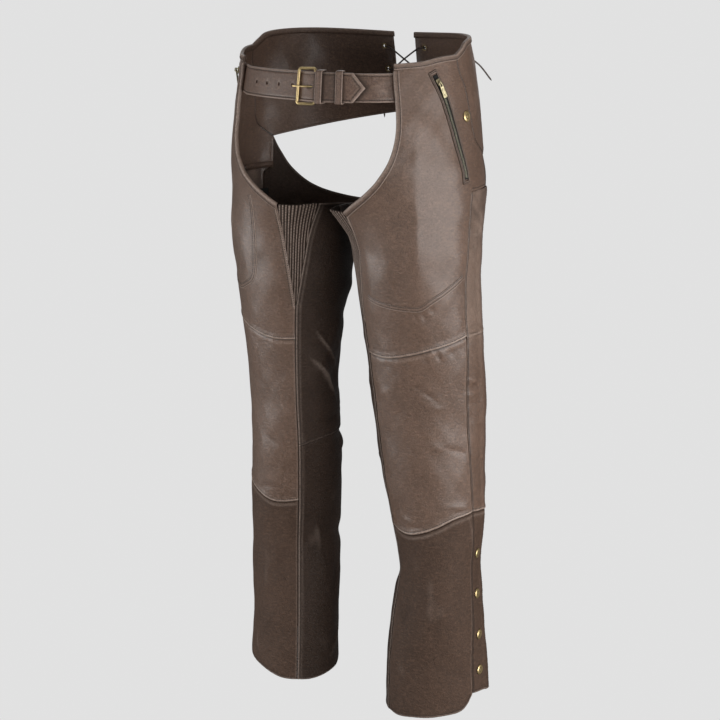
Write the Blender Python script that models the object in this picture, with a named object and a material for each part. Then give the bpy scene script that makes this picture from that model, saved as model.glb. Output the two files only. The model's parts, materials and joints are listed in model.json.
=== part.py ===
"""Leather riding chaps in their worn, standing form, on a shared waist belt.

Each leg is one worn surface given by two coordinates: an angle round the leg (0 front, 90 outer
side, 180 back, 270 inner side) and a height (0 at the middle of the belt). Every cut piece is a
patch of that surface, given a wall thickness and kept a hair from its neighbours at the seams.
The left leg is worked out, and the right leg is its mirror image.
"""
import math

import bmesh
import bpy
import numpy as np
from mathutils import Vector

MM = 0.001

# ---------------------------------------------------------------- driving sizes (metres, degrees)
LEATHER = 2.0 * MM              # wall of every cut panel
SEAM_GAP = 0.4 * MM             # between two panels' edges
CLEAR = 0.35 * MM               # under anything that lies on a panel
BINDING = 1.2 * MM              # leather of the folded edge binding
BINDING_WIDTH = 7.0 * MM
BINDING_INSIDE_CLEAR = 1.0 * MM
ZIP_TAPE = 1.0 * MM

BELT_WIDTH = 42.0 * MM
STRAP = 2.6 * MM                # strap leather
HOLE_DIAMETER = 4.0 * MM
BUCKLE_ROD = 4.2 * MM
KEEPER_WIDTH = 10.5 * MM
KEEPER_LEATHER = 2.0 * MM

SNAP_DIAMETER = 14.5 * MM
EYELET_OUTER = 11.0 * MM
EYELET_INNER = 5.6 * MM
LACE_DIAMETER = 2.6 * MM

# Angles of the lengthwise seams, and heights of the main levels.
INSEAM = -38.5                  # front panels start here
INSEAM_BACK = 360.0 + INSEAM    # the same seam, counted round the back
STRIP_FRONT = 81.0              # front edge of the outer side strip
STRIP_REAR = 118.0
BACK_FRONT_EDGE = 110.0         # the back panels' edge, under the strip
STRIP_TOP = -0.1525
GUSSET_TOP = -0.1825
GUSSET_TIP = -0.349

# Leg sections: height, centre of the leg (across, deep), half length along the long axis of the
# section, half width across it.
LONG_AXIS = 34.0                # degrees from straight across, for the wearer's left leg
LEG_SECTIONS = (
    # height, across, deep, half_long, half_short
    (-1.030, 0.1455, 0.024, 0.0850, 0.0760),
    (-0.920, 0.1415, 0.024, 0.0800, 0.0715),
    (-0.840, 0.1415, 0.026, 0.0727, 0.0745),
    (-0.760, 0.1415, 0.028, 0.0645, 0.0750),
    (-0.680, 0.1380, 0.026, 0.0725, 0.0755),
    (-0.590, 0.1325, 0.019, 0.0810, 0.0735),
    (-0.500, 0.1300, 0.011, 0.0863, 0.0705),
    (-0.390, 0.1245, 0.003, 0.0895, 0.0810),
    (-0.300, 0.1165, -0.003, 0.0933, 0.0935),
    (-0.220, 0.1110, -0.004, 0.0985, 0.1020),
    (-0.120, 0.0980, 0.000, 0.1060, 0.1000),
    (0.120, 0.0980, 0.000, 0.1000, 0.1000),
)
# Hip sections: an ellipse round the body.
HIP_SECTIONS = (
    # height, half_width, half_depth
    (-0.260, 0.2080, 0.1500),
    (-0.180, 0.2165, 0.1530),
    (-0.100, 0.2060, 0.1580),
    (0.000, 0.1925, 0.1460),
    (0.100, 0.1760, 0.1300),
)
LEG_BLEND = (-0.250, -0.100)    # below the first height it is all leg, above the second all hip
MIDDLE_CLEAR = 0.004            # the leg stays this far from the body's middle plane

# The largest folds: where the leather stands out (+) or dips (-) by `rise`.
FOLDS = (
    # angle, height, tilt, half_length, half_width, rise
    (200.0, -0.545, 8.0, 0.075, 0.013, 0.0050),
    (215.0, -0.580, -6.0, 0.085, 0.012, -0.0055),
    (190.0, -0.612, 4.0, 0.070, 0.013, 0.0045),
    (285.0, -0.430, -58.0, 0.060, 0.012, 0.0035),
    (268.0, -0.470, -52.0, 0.055, 0.013, -0.0035),
    (235.0, -0.335, 20.0, 0.060, 0.014, 0.0040),
    (225.0, -0.385, 14.0, 0.060, 0.014, -0.0035),
    (245.0, -0.760, 24.0, 0.055, 0.014, -0.0045),
    (180.0, -0.820, -14.0, 0.060, 0.016, 0.0040),
    (300.0, -0.775, 30.0, 0.035, 0.014, -0.0040),
)

# Edges of the cut pieces: angle and height, from the first point to the last.
CUTOUT_EDGE = ((-20.5, GUSSET_TOP), (-14.0, -0.1740), (-3.5, -0.1590), (4.0, -0.1460), (10.5, -0.1320),
               (17.0, -0.1120), (21.0, -0.0920), (23.5, -0.0680), (24.0, -0.0450), (23.0, -0.0200),
               (21.5, 0.0030), (20.0, 0.0320))
HIP_SEAM = ((94.0, -0.0685), (92.8, -0.0460), (90.6, -0.0235), (87.6, 0.0000), (82.0, 0.0200),
            (79.5, 0.0425))
HIP_SEAM_LOW = ((94.0, -0.0685), (97.5, -0.0815), (102.5, -0.0895), (109.0, -0.0975), (117.0, -0.1065))
WAIST_FRONT = ((20.0, 0.0320), (43.5, 0.0350), (60.0, 0.0400), (79.5, 0.0425))
WAIST_BACK = ((79.5, 0.0425), (90.0, 0.0510), (100.5, 0.0590), (122.0, 0.0630), (160.0, 0.0640),
              (210.2, 0.0600))
YOKE_LOW = ((117.0, -0.1065), (135.0, -0.1000), (160.0, -0.0900), (185.0, -0.0780), (206.3, -0.0660))
SEAT_EDGE = ((118.0, -0.1065), (124.0, -0.1300), (136.0, -0.1600), (155.0, -0.1860), (180.0, -0.1990),
             (210.0, -0.2020), (245.0, -0.1960), (280.0, -0.1870), (308.5, GUSSET_TOP))
SEAM_THIGH = ((INSEAM, -0.4040), (-11.5, -0.4045), (16.5, -0.3955), (36.0, -0.3880), (56.5, -0.3805),
              (STRIP_FRONT, -0.3700))
SEAM_SHIN = ((INSEAM, -0.6880), (-11.5, -0.6920), (6.5, -0.6880), (33.0, -0.6740), (54.0, -0.6620),
             (STRIP_FRONT, -0.6560))
SEAM_KNEE_BACK = ((BACK_FRONT_EDGE, -0.5690), (160.0, -0.5740), (252.0, -0.5760), (295.0, -0.5790),
                  (INSEAM_BACK, -0.5890))
HEM_FRONT = ((INSEAM, -1.0050), (-20.0, -1.0045), (4.0, -0.9985), (35.0, -0.9930), (60.0, -0.9885),
             (71.0, -0.9810), (STRIP_FRONT, -0.9640))
HEM_STRIP = ((STRIP_FRONT, -0.9630), (100.0, -0.9660), (STRIP_REAR, -0.9740))
HEM_BACK = ((BACK_FRONT_EDGE, -0.9720), (150.0, -0.9840), (200.0, -0.9920), (250.0, -1.0000),
            (300.0, -1.0060), (INSEAM_BACK, -1.0050))
ZIP_LINE = ((53.5, 0.0165), (64.0, -0.0225), (72.0, -0.0730), (77.5, -0.1130), (79.0, -0.1330))
ZIP_WIDTH = 15.0 * MM           # over both welts
ZIP_SLOT = 7.4 * MM             # between the welts
SNAP_HEIGHTS = (-0.7315, -0.7995, -0.8675, -0.9280)
LEG_SNAP_ANGLE = 94.5
HIP_SNAP = (86.5, -0.0445)
GUSSET_RIBS = 12
RIB_RISE = 1.3 * MM

# The belt, by distance round the body from its front middle (positive to the wearer's left).
FAR_ROD = 0.003                 # the buckle rod that the prong rests on
HINGE = 0.0275                  # the rod that the left strap folds round
FAR_ROD_LIFT = 3.3 * MM
HINGE_LIFT = -2.9 * MM
BUCKLE_OUTER_HEIGHT = 54.0 * MM
PRONG = 2.6 * MM
PRONG_TIP = -0.0055
KEEPERS = (
    # middle, inner face in, inner face out
    (0.0376, -8.3 * MM, 5.8 * MM),
    (0.0680, -6.3 * MM, 4.1 * MM),
)
STRAP_TIP = 0.1055
STRAP_SHOULDER = 0.0880
STRAP_HOLES = (-0.0870, -0.0610, -0.0350, -0.0090)
PRONG_SLOT = (0.0233, 9.8 * MM, 4.6 * MM)      # middle, length, height
RIGHT_STRAP_PATH = (
    # distance, lift of the strap's middle
    (-0.1720, -0.0061), (-0.1600, -0.0061), (-0.1480, -0.0061), (-0.1400, -0.0056), (-0.1290, -0.0034),
    (-0.1180, -0.0010), (-0.1060, 0.0000), (-0.0700, 0.0000), (-0.0300, 0.0000), (-0.0100, -0.0002),
    (0.0030, -0.0006), (0.0110, 0.0008), (0.0180, 0.0029), (0.0270, 0.0041), (0.0360, 0.0038),
    (0.0480, 0.0028), (0.0620, 0.0023), (0.0760, 0.0021), (0.0880, 0.0020), (0.1055, 0.0020))
LEFT_STRAP_PATH = (
    (0.1720, -0.0061), (0.1600, -0.0061), (0.1480, -0.0061), (0.1400, -0.0056), (0.1290, -0.0036),
    (0.1180, -0.0018), (0.1060, -0.0013), (0.0850, -0.0013), (0.0600, -0.0013), (0.0460, -0.0013),
    (0.0370, -0.0011))
FOLD_END = 0.0850

# The lacing at the back: eyelets on each yoke, and the order in which the lace goes through them.
EYELET_ANGLE = 203.6
EYELET_HEIGHTS = (0.0380, 0.0020, -0.0340)

# The pocket zip's slider and pull tab.
SLIDER_AT = 0.075               # share of the zip's length
SLIDER_LENGTH = 11.0 * MM
SLIDER_WIDTH = 6.2 * MM
SLIDER_LIFT = (1.8 * MM, 4.4 * MM)
PIVOT_LIFT = 7.0 * MM
PIN = 1.5 * MM
BRIDGE_WIDTH = 2.2 * MM
TAB_LENGTH = 24.0 * MM
TAB_WIDTH = 7.0 * MM
TAB_THICKNESS = 1.2 * MM


# ---------------------------------------------------------------- the worn surface
def column(table, height):
    """Smooth values of every column of a section table at the given heights."""
    rows = np.array(table)
    z = rows[:, 0]
    height = np.clip(np.asarray(height, float), z[0], z[-1])
    low = np.clip(np.searchsorted(z, height) - 1, 0, len(z) - 2)
    span = z[low + 1] - z[low]
    t = ((height - z[low]) / span)[..., None]
    slope = np.empty_like(rows[:, 1:])
    slope[1:-1] = (rows[2:, 1:] - rows[:-2, 1:]) / (z[2:] - z[:-2])[:, None]
    slope[0] = (rows[1, 1:] - rows[0, 1:]) / (z[1] - z[0])
    slope[-1] = (rows[-1, 1:] - rows[-2, 1:]) / (z[-1] - z[-2])
    span = span[..., None]
    return ((2 * t**3 - 3 * t**2 + 1) * rows[low, 1:] + (t**3 - 2 * t**2 + t) * span * slope[low]
            + (3 * t**2 - 2 * t**3) * rows[low + 1, 1:] + (t**3 - t**2) * span * slope[low + 1])


def ease(x):
    x = np.clip(x, 0.0, 1.0)
    return x * x * (3.0 - 2.0 * x)


def fold_rise(angle, height):
    """How far the largest folds move the leather out at each point."""
    rise = np.zeros_like(angle)
    for at, level, tilt, half_length, half_width, size in FOLDS:
        across = np.radians((angle - at + 180.0) % 360.0 - 180.0) * 0.085
        up = height - level
        along = across * math.cos(math.radians(tilt)) + up * math.sin(math.radians(tilt))
        aside = -across * math.sin(math.radians(tilt)) + up * math.cos(math.radians(tilt))
        rise += size * np.exp(-(along / half_length) ** 2 - (aside / half_width) ** 2)
    return rise


def worn(angle, height):
    """Points of the base layer's outer face, for the wearer's left leg."""
    angle, height = np.broadcast_arrays(np.asarray(angle, float), np.asarray(height, float))
    axis_x, axis_y, half_long, half_short = np.moveaxis(column(LEG_SECTIONS, height), -1, 0)
    half_width, half_depth = np.moveaxis(column(HIP_SECTIONS, height), -1, 0)
    turn = np.radians(angle)
    ray_x, ray_y = np.sin(turn), -np.cos(turn)
    long_x, long_y = math.cos(math.radians(LONG_AXIS)), math.sin(math.radians(LONG_AXIS))
    along, aside = ray_x * long_x + ray_y * long_y, ray_y * long_x - ray_x * long_y
    leg = 1.0 / np.sqrt((along / half_long) ** 2 + (aside / half_short) ** 2)
    a = (ray_x / half_width) ** 2 + (ray_y / half_depth) ** 2
    b = 2.0 * (axis_x * ray_x / half_width**2 + axis_y * ray_y / half_depth**2)
    c = (axis_x / half_width) ** 2 + (axis_y / half_depth) ** 2 - 1.0
    hip = (-b + np.sqrt(np.maximum(b * b - 4.0 * a * c, 0.0))) / (2.0 * a)
    middle = (axis_x - MIDDLE_CLEAR) / np.maximum(-ray_x, 1e-3)
    hip = (hip**-14.0 + middle**-14.0) ** (-1.0 / 14.0)
    share = ease((height - LEG_BLEND[0]) / (LEG_BLEND[1] - LEG_BLEND[0]))
    radius = (1.0 - share) * leg + share * hip + fold_rise(angle, height)
    return np.stack([axis_x + radius * ray_x, axis_y + radius * ray_y, height], -1)


def outward(angle, height):
    d_angle = worn(np.asarray(angle) + 0.4, height) - worn(np.asarray(angle) - 0.4, height)
    d_height = worn(angle, np.asarray(height) + 0.001) - worn(angle, np.asarray(height) - 0.001)
    normal = np.cross(d_angle, d_height)
    return normal / np.linalg.norm(normal, axis=-1, keepdims=True)


def place(angle, height, lift):
    """Points moved out of the worn surface by lift (in, when it is negative)."""
    return worn(angle, height) + outward(angle, height) * np.asarray(lift, float)[..., None]


def metres_per_degree(angle, height):
    step = worn(np.asarray(angle) + 0.5, height) - worn(np.asarray(angle) - 0.5, height)
    return np.linalg.norm(step, axis=-1)


# ---------------------------------------------------------------- curves and patches on the surface
def curve(points, count):
    """count + 1 points at even steps along a smooth curve through (angle, height) points."""
    knots = np.array(points, float)
    if len(knots) > 2:
        ends = np.vstack([2 * knots[0] - knots[1], knots, 2 * knots[-1] - knots[-2]])
        fine = []
        for p0, p1, p2, p3 in zip(ends, ends[1:], ends[2:], ends[3:]):
            for t in np.linspace(0, 1, 16, endpoint=False):
                fine.append(0.5 * (2 * p1 + (p2 - p0) * t + (2 * p0 - 5 * p1 + 4 * p2 - p3) * t**2
                                   + (3 * p1 - 3 * p2 + p3 - p0) * t**3))
        knots = np.vstack([fine, knots[-1]])
    scale = float(np.mean(metres_per_degree(knots[:, 0], knots[:, 1])))
    steps = np.hypot(np.diff(knots[:, 0]) * scale, np.diff(knots[:, 1]))
    along = np.concatenate([[0.0], np.cumsum(steps)])
    at = np.linspace(0.0, along[-1], count + 1)
    return np.column_stack([np.interp(at, along, knots[:, k]) for k in (0, 1)])


def joined(*curves):
    """Curves end to end, each sharing its first point with the one before."""
    return np.vstack([curves[0]] + [c[1:] for c in curves[1:]])


def by_angle(points, angles):
    """The edge's points at the given angles, so that pieces above and below share them."""
    fine = curve(points, 200)
    return np.column_stack([angles, np.interp(angles, fine[:, 0], fine[:, 1])])


def patch(low, high, first, last):
    """Grid of (angle, height) points filled in from a four-sided patch's edges.

    low and high run with the angle, first and last run upwards.
    """
    u = np.linspace(0, 1, len(low))[None, :, None]
    v = np.linspace(0, 1, len(first))[:, None, None]
    sides = (1 - v) * low[None] + v * high[None] + (1 - u) * first[:, None] + u * last[:, None]
    corners = ((1 - u) * (1 - v) * low[0] + u * (1 - v) * low[-1]
               + (1 - u) * v * high[0] + u * v * high[-1])
    return sides - corners


def strip_front(heights):
    """Front edge of the side strip: it leans back a little near its top."""
    heights = np.asarray(heights, float)
    return np.column_stack([STRIP_FRONT + 5.0 * ease((heights + 0.31) / 0.1575), heights])


# ---------------------------------------------------------------- solids
def material(name, colour, roughness=0.5, metallic=0.0):
    made = bpy.data.materials.new(name)
    made.use_nodes = True
    shader = made.node_tree.nodes["Principled BSDF"]
    shader.inputs["Base Color"].default_value = (*colour, 1.0)
    shader.inputs["Roughness"].default_value = roughness
    shader.inputs["Metallic"].default_value = metallic
    return made


LOOKS = {
    "leather": ((0.17, 0.125, 0.10), 0.45, 0.0),
    "dark_leather": ((0.10, 0.07, 0.055), 0.5, 0.0),
    "brass": ((0.72, 0.55, 0.25), 0.3, 1.0),
    "tape": ((0.09, 0.09, 0.075), 0.9, 0.0),
}


def smooth(made, angle=35.0):
    made.data.shade_smooth()
    made.data.set_sharp_from_angle(angle=math.radians(angle))
    return made


def add(name, points, faces, look, mirrored=False):
    """One closed solid. The mirrored leg's faces are turned so that they still look outwards."""
    points = np.array(points, float)
    if mirrored:
        points = points * np.array([-1.0, 1.0, 1.0])
        faces = [face[::-1] for face in faces]
    mesh = bpy.data.meshes.new(name)
    mesh.from_pydata([tuple(p) for p in points], [], [tuple(int(i) for i in face) for face in faces])
    mesh.update()
    made = bpy.data.objects.new(name, mesh)
    bpy.context.collection.objects.link(made)
    made.data.materials.append(material(name + "_" + look, *LOOKS[look]))
    return smooth(made)


def per_side(name, points, faces, look):
    """The left piece and its mirror image."""
    return [add("left_" + name, points, faces, look), add("right_" + name, points, faces, look, True)]


def inset(cells, faces, distance):
    """Move the rim of a sheet of (angle, height) points inwards, along the surface."""
    scale = metres_per_degree(cells[:, 0], cells[:, 1])
    edges = {}
    for face in faces:
        for a, b in zip(face, face[1:] + face[:1]):
            edges[(a, b)] = True
    rim = [(a, b) for a, b in edges if (b, a) not in edges]
    push = {}
    for a, b in rim:
        run = (cells[b] - cells[a]) * np.array([0.5 * (scale[a] + scale[b]), 1.0])
        side = np.array([-run[1], run[0]]) / max(np.hypot(*run), 1e-9)
        push.setdefault(a, []).append(side)
        push.setdefault(b, []).append(side)
    moved = cells.copy()
    for index, sides in push.items():
        total = sum(sides)
        miter = total / (1.0 + float(np.dot(sides[0], sides[-1]))) if len(sides) == 2 else total
        moved[index] += distance * miter / np.array([scale[index], 1.0])
    return moved, rim


def split_quads(faces, points):
    """Each quad as two triangles along its shorter diagonal, the same on both faces of a wall."""
    split = []
    for face in faces:
        if len(face) == 3:
            split.append(face)
            continue
        a, b, c, d = face
        if np.linalg.norm(points[a] - points[c]) <= np.linalg.norm(points[b] - points[d]):
            split += [[a, b, c], [a, c, d]]
        else:
            split += [[a, b, d], [b, c, d]]
    return split


def sheet(patches, inner, outer, gap=SEAM_GAP):
    """Points and faces of a closed wall over patches that share edges.

    inner and outer are the lifts of its two faces: numbers, or functions of (angle, height).
    """
    cells, faces, known = [], [], {}

    def index(point):
        key = (round(float(point[0]), 4), round(float(point[1]), 6))
        if key not in known:
            known[key] = len(cells)
            cells.append(point)
        return known[key]

    for grid in patches:
        ids = [[index(point) for point in row] for row in grid]
        for lower, upper in zip(ids, ids[1:]):
            for k in range(len(lower) - 1):
                face = [lower[k], lower[k + 1], upper[k + 1], upper[k]]
                face = [v for n, v in enumerate(face) if v != face[n - 1]]
                if len(face) > 2:
                    faces.append(face)
    cells, rim = inset(np.array(cells), faces, gap / 2)
    angle, height = cells[:, 0], cells[:, 1]
    faces = split_quads(faces, worn(angle, height))
    lifts = [edge(angle, height) if callable(edge) else np.full(len(cells), edge)
             for edge in (outer, inner)]
    points = np.vstack([place(angle, height, lift) for lift in lifts])
    n = len(cells)
    solid = [list(face) for face in faces] + [[v + n for v in face[::-1]] for face in faces]
    solid += [[b, a, a + n, b + n] for a, b in rim]
    return points, solid


def lathe_faces(rings, sides):
    """Faces of a ring-by-ring body that is closed by a single point at each end."""
    faces = [[0, 1 + (k + 1) % sides, 1 + k] for k in range(sides)]
    for ring in range(rings - 1):
        base = 1 + ring * sides
        faces += [[base + k, base + (k + 1) % sides, base + sides + (k + 1) % sides, base + sides + k]
                  for k in range(sides)]
    base, last = 1 + (rings - 1) * sides, 1 + rings * sides
    faces += [[base + k, base + (k + 1) % sides, last] for k in range(sides)]
    return faces


def frame_at(angle, height):
    """Origin, across, up and outward directions of the worn surface at a point."""
    out = outward(angle, height)
    across = worn(angle + 0.4, height) - worn(angle - 0.4, height)
    across = across / np.linalg.norm(across)
    up = np.cross(out, across)
    return worn(angle, height), across, up / np.linalg.norm(up), out


def stud(centre, across, up, out, lift, profile, sides=12):
    """A turned body from (radius, rise) pairs, standing on a surface."""
    foot = centre + out * lift
    points = [foot]
    for radius, rise in profile:
        for k in range(sides):
            turn = 2 * math.pi * k / sides
            points.append(foot + across * radius * math.cos(turn) + up * radius * math.sin(turn)
                          + out * rise)
    points.append(foot + out * profile[-1][1] + out * 0.25 * MM)
    return points, lathe_faces(len(profile), sides)


def sweep(section_rings, closed=False):
    """A closed body through rings of equal point count, with flat ends unless it is a loop."""
    rings = [list(ring) for ring in section_rings]
    sides = len(rings[0])
    points = [p for ring in rings for p in ring]
    faces = []
    spans = len(rings) if closed else len(rings) - 1
    for r in range(spans):
        a, b = r * sides, ((r + 1) % len(rings)) * sides
        faces += [[a + k, a + (k + 1) % sides, b + (k + 1) % sides, b + k] for k in range(sides)]
    if not closed:
        faces += [list(range(sides))[::-1], [(len(rings) - 1) * sides + k for k in range(sides)]]
    return points, faces


def outside_out(made):
    """Turn a solid's faces outwards."""
    bm = bmesh.new()
    bm.from_mesh(made.data)
    bmesh.ops.recalc_face_normals(bm, faces=bm.faces[:])
    bm.to_mesh(made.data)
    bm.free()
    return made


def drill(target, name, start, end, diameter, sides=12):
    """A round hole through a solid, cut exactly."""
    bm = bmesh.new()
    bmesh.ops.create_cone(bm, segments=sides, radius1=diameter / 2, radius2=diameter / 2,
                          depth=float(np.linalg.norm(np.subtract(end, start))), cap_ends=True)
    turn = Vector(np.subtract(end, start)).to_track_quat("Z", "Y").to_matrix()
    for vert in bm.verts:
        vert.co = turn @ vert.co + (Vector(start) + Vector(end)) / 2
    mesh = bpy.data.meshes.new(name)
    bm.to_mesh(mesh)
    bm.free()
    tool = bpy.data.objects.new(name, mesh)
    bpy.context.collection.objects.link(tool)
    tool.hide_render = True
    tool.display_type = "WIRE"
    cut = target.modifiers.new(name, "BOOLEAN")
    cut.operation, cut.solver, cut.object = "DIFFERENCE", "EXACT", tool


# ---------------------------------------------------------------- the legs
def strip_lift(face):
    """The strip starts level with the front panels and rides up over the back panels' edge."""
    rise = LEATHER + CLEAR + 0.3 * MM

    def lift(angle, height):
        return rise * ease((angle - 100.0) / 8.5) + face
    return lift


def build_panels():
    front = np.linspace(INSEAM, STRIP_FRONT, 11)
    back = np.linspace(BACK_FRONT_EDGE, INSEAM_BACK, 13)
    rows = {"shin": 11, "knee": 9, "below_tip": 3, "gusset": 5, "lobe": 6, "hip": 10,
            "back_low": 13, "back_tip": 9}

    def inseam(low, high, count, angle=INSEAM):
        heights = np.linspace(low, high, count + 1)
        return np.column_stack([np.full(count + 1, angle), heights])

    # Shin and knee panels, between the inseam and the side strip.
    hem, shin, thigh = (by_angle(edge, front) for edge in (HEM_FRONT, SEAM_SHIN, SEAM_THIGH))
    for name, low, high, count in (("shin_panel", hem, shin, rows["shin"]),
                                   ("knee_panel", shin, thigh, rows["knee"])):
        first = inseam(low[0, 1], high[0, 1], count)
        last = strip_front(np.linspace(low[-1, 1], high[-1, 1], count + 1))
        points, faces = sheet([patch(low, high, first, last)], -LEATHER, 0.0)
        per_side(name, points, faces, "leather")

    # Thigh panel: up the inseam, the gusset's edge and the front cut-out; its rear lobe passes
    # over the top of the strip.
    cut = rows["lobe"] + rows["hip"]
    gusset_edge = np.linspace((INSEAM, GUSSET_TIP), (CUTOUT_EDGE[0]), rows["gusset"] + 1)
    first = joined(inseam(thigh[0, 1], GUSSET_TIP, rows["below_tip"]), gusset_edge,
                   curve(CUTOUT_EDGE, cut))
    lobe_edge = np.linspace(strip_front([STRIP_TOP])[0], HIP_SEAM[0], rows["lobe"] + 1)
    leg_rows = rows["below_tip"] + rows["gusset"]
    last = joined(strip_front(np.linspace(thigh[-1, 1], STRIP_TOP, leg_rows + 1)), lobe_edge,
                  curve(HIP_SEAM, rows["hip"]))
    waist = curve(WAIST_FRONT, len(front) - 1)
    main = patch(thigh, waist, first, last)
    lobe_low = np.linspace(lobe_edge[0], (STRIP_REAR, STRIP_TOP), 4)
    lobe_high = curve(HIP_SEAM_LOW, 3)
    lobe_last = np.linspace((STRIP_REAR, STRIP_TOP), HIP_SEAM_LOW[-1], rows["lobe"] + 1)
    lobe = patch(lobe_low, lobe_high, lobe_edge, lobe_last)
    points, faces = sheet([main, lobe], -LEATHER, 0.0)
    per_side("thigh_panel", points, faces, "leather")

    # Back panels, from the seam under the strip round to the inseam.
    knee_back = by_angle(SEAM_KNEE_BACK, back)
    hem_back = by_angle(HEM_BACK, back)
    first = inseam(hem_back[0, 1], knee_back[0, 1], rows["back_low"], BACK_FRONT_EDGE)
    last = inseam(hem_back[-1, 1], knee_back[-1, 1], rows["back_low"], INSEAM_BACK)
    points, faces = sheet([patch(hem_back, knee_back, first, last)], -LEATHER, 0.0)
    per_side("back_lower_panel", points, faces, "dark_leather")

    total = rows["back_tip"] + rows["gusset"]
    edge = inseam(knee_back[0, 1], STRIP_TOP - 0.012, total - 3, BACK_FRONT_EDGE)
    lobe_side = np.array([(STRIP_REAR, STRIP_TOP), (STRIP_REAR, -0.1295), (STRIP_REAR, -0.1065)])
    first = joined(edge, np.vstack([edge[-1:], lobe_side]))
    back_gusset = np.linspace((INSEAM_BACK, GUSSET_TIP), (308.5, GUSSET_TOP), rows["gusset"] + 1)
    last = joined(inseam(knee_back[-1, 1], GUSSET_TIP, rows["back_tip"], INSEAM_BACK), back_gusset)
    points, faces = sheet([patch(knee_back, curve(SEAT_EDGE, len(back) - 1), first, last)],
                          -LEATHER, 0.0)
    per_side("back_upper_panel", points, faces, "dark_leather")

    # Ribbed stretch gusset: vertical ribs, cut off by the two slanting edges.
    ribs = np.linspace(-50.7, -21.5, 2 * GUSSET_RIBS + 1)
    level = (ribs - INSEAM) / np.where(ribs < INSEAM, -51.5 - INSEAM, -20.5 - INSEAM)
    foot = GUSSET_TIP + (GUSSET_TOP - GUSSET_TIP) * level
    low = np.column_stack([ribs, foot])
    high = np.column_stack([ribs, np.full(len(ribs), GUSSET_TOP)])
    grid = np.array([(1 - t) * low + t * high for t in np.linspace(0, 1, 5)])
    step = (ribs[-1] - ribs[0]) / (2 * GUSSET_RIBS)

    def ribbed(angle, height):
        number = np.round((angle - ribs[0]) / step)
        return np.where(number % 2 > 0.5, 0.0, -RIB_RISE)
    points, faces = sheet([grid], -LEATHER - RIB_RISE, ribbed)
    per_side("stretch_gusset", points, faces, "dark_leather")

    # Back yoke, from the hip seam to the lacing.
    low, high = curve(YOKE_LOW, 11), curve(WAIST_BACK, 11)
    first = joined(curve(HIP_SEAM_LOW, 3)[::-1], curve(HIP_SEAM, rows["hip"]))
    last = np.linspace(low[-1], high[-1], 3 + rows["hip"] + 1)
    points, faces = sheet([patch(low, high, first, last)], -LEATHER, 0.0)
    yokes = per_side("back_yoke", points, faces, "leather")

    # Side strip and snap flap, over the leg zip's tape.
    turns = np.array([0.0, 0.25, 0.51, 0.64, 0.77, 1.0])
    for name, low_edge, high_level, count in (("side_strip", None, STRIP_TOP, 15),
                                              ("snap_flap", HEM_STRIP, None, 10)):
        def level(height):
            start = strip_front([height])[0]
            return np.column_stack([start[0] + (STRIP_REAR - start[0]) * turns,
                                    np.full(len(turns), height)])
        seam = level(SEAM_SHIN[-1][1])
        seam[:, 1] -= 0.008 * turns
        if low_edge is None:
            low, high = seam, level(high_level)
        else:
            base = level(-0.965)
            low, high = by_angle(low_edge, base[:, 0]), seam
        first = strip_front(np.linspace(low[0, 1], high[0, 1], count + 1))
        last = np.column_stack([np.full(count + 1, STRIP_REAR),
                                np.linspace(low[-1, 1], high[-1, 1], count + 1)])
        points, faces = sheet([patch(low, high, first, last)], strip_lift(-LEATHER), strip_lift(0.0))
        per_side(name, points, faces, "leather")
    low, high = (np.column_stack([np.linspace(88.0, 117.0, 3), np.full(3, h)])
                 for h in (-0.955, -0.190))
    first, last = (inseam(-0.955, -0.190, 13, a) for a in (88.0, 117.0))
    lift = -LEATHER - 2.4 * MM
    points, faces = sheet([patch(low, high, first, last)], lift - ZIP_TAPE, lift)
    per_side("leg_zip", points, faces, "tape")
    return yokes


def build_bindings():
    """A folded binding over the front cut-out's edge and one over the waist's edge."""
    profile = ((BINDING_WIDTH, CLEAR), (BINDING_WIDTH, CLEAR + BINDING),
               (-CLEAR - BINDING, CLEAR + BINDING),
               (-CLEAR - BINDING, -LEATHER - BINDING_INSIDE_CLEAR - BINDING),
               (BINDING_WIDTH, -LEATHER - BINDING_INSIDE_CLEAR - BINDING),
               (BINDING_WIDTH, -LEATHER - BINDING_INSIDE_CLEAR),
               (-CLEAR, -LEATHER - BINDING_INSIDE_CLEAR), (-CLEAR, CLEAR))
    cutout = curve(CUTOUT_EDGE, 16)
    waist = joined(curve(WAIST_FRONT, 10), curve(WAIST_BACK, 11))
    # The two bindings meet at the top corner, where each is cut back.
    cutout[-1] += (cutout[-2] - cutout[-1]) * 0.55
    for name, path, side in (("cutout_binding", cutout, -1.0), ("waist_binding", waist, -1.0)):
        scale = metres_per_degree(path[:, 0], path[:, 1])
        run = np.gradient(path, axis=0) * np.column_stack([scale, np.ones(len(path))])
        run /= np.linalg.norm(run, axis=1, keepdims=True)
        into = np.column_stack([run[:, 1], -run[:, 0]])
        rings = []
        for k in range(len(path)):
            ring = []
            for width, lift in profile:
                angle = path[k, 0] + into[k, 0] * width / scale[k]
                height = path[k, 1] + into[k, 1] * width
                ring.append(place(angle, height, lift))
            rings.append(ring)
        points, faces = sweep(rings)
        for made in per_side(name, points, faces, "leather"):
            outside_out(made)


def on_zip(along, aside):
    """Angle and height at a share of the pocket zip's length and a distance to its outer side."""
    line = curve(ZIP_LINE, 40)
    share = np.linspace(0, 1, len(line))
    within = min(max(along, 0.0), 1.0)
    near, far = max(within - 0.02, 0.0), min(within + 0.02, 1.0)
    at, behind, ahead = (np.array([np.interp(s, share, line[:, k]) for k in (0, 1)])
                         for s in (within, near, far))
    scale = float(metres_per_degree(at[0], at[1]))
    at = at + (ahead - behind) * (along - within) / (far - near)
    run = (ahead - behind) * np.array([scale, 1.0])
    run /= np.hypot(*run)
    out = np.array([-run[1], run[0]])
    return at + out * aside / np.array([scale, 1.0])


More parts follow.
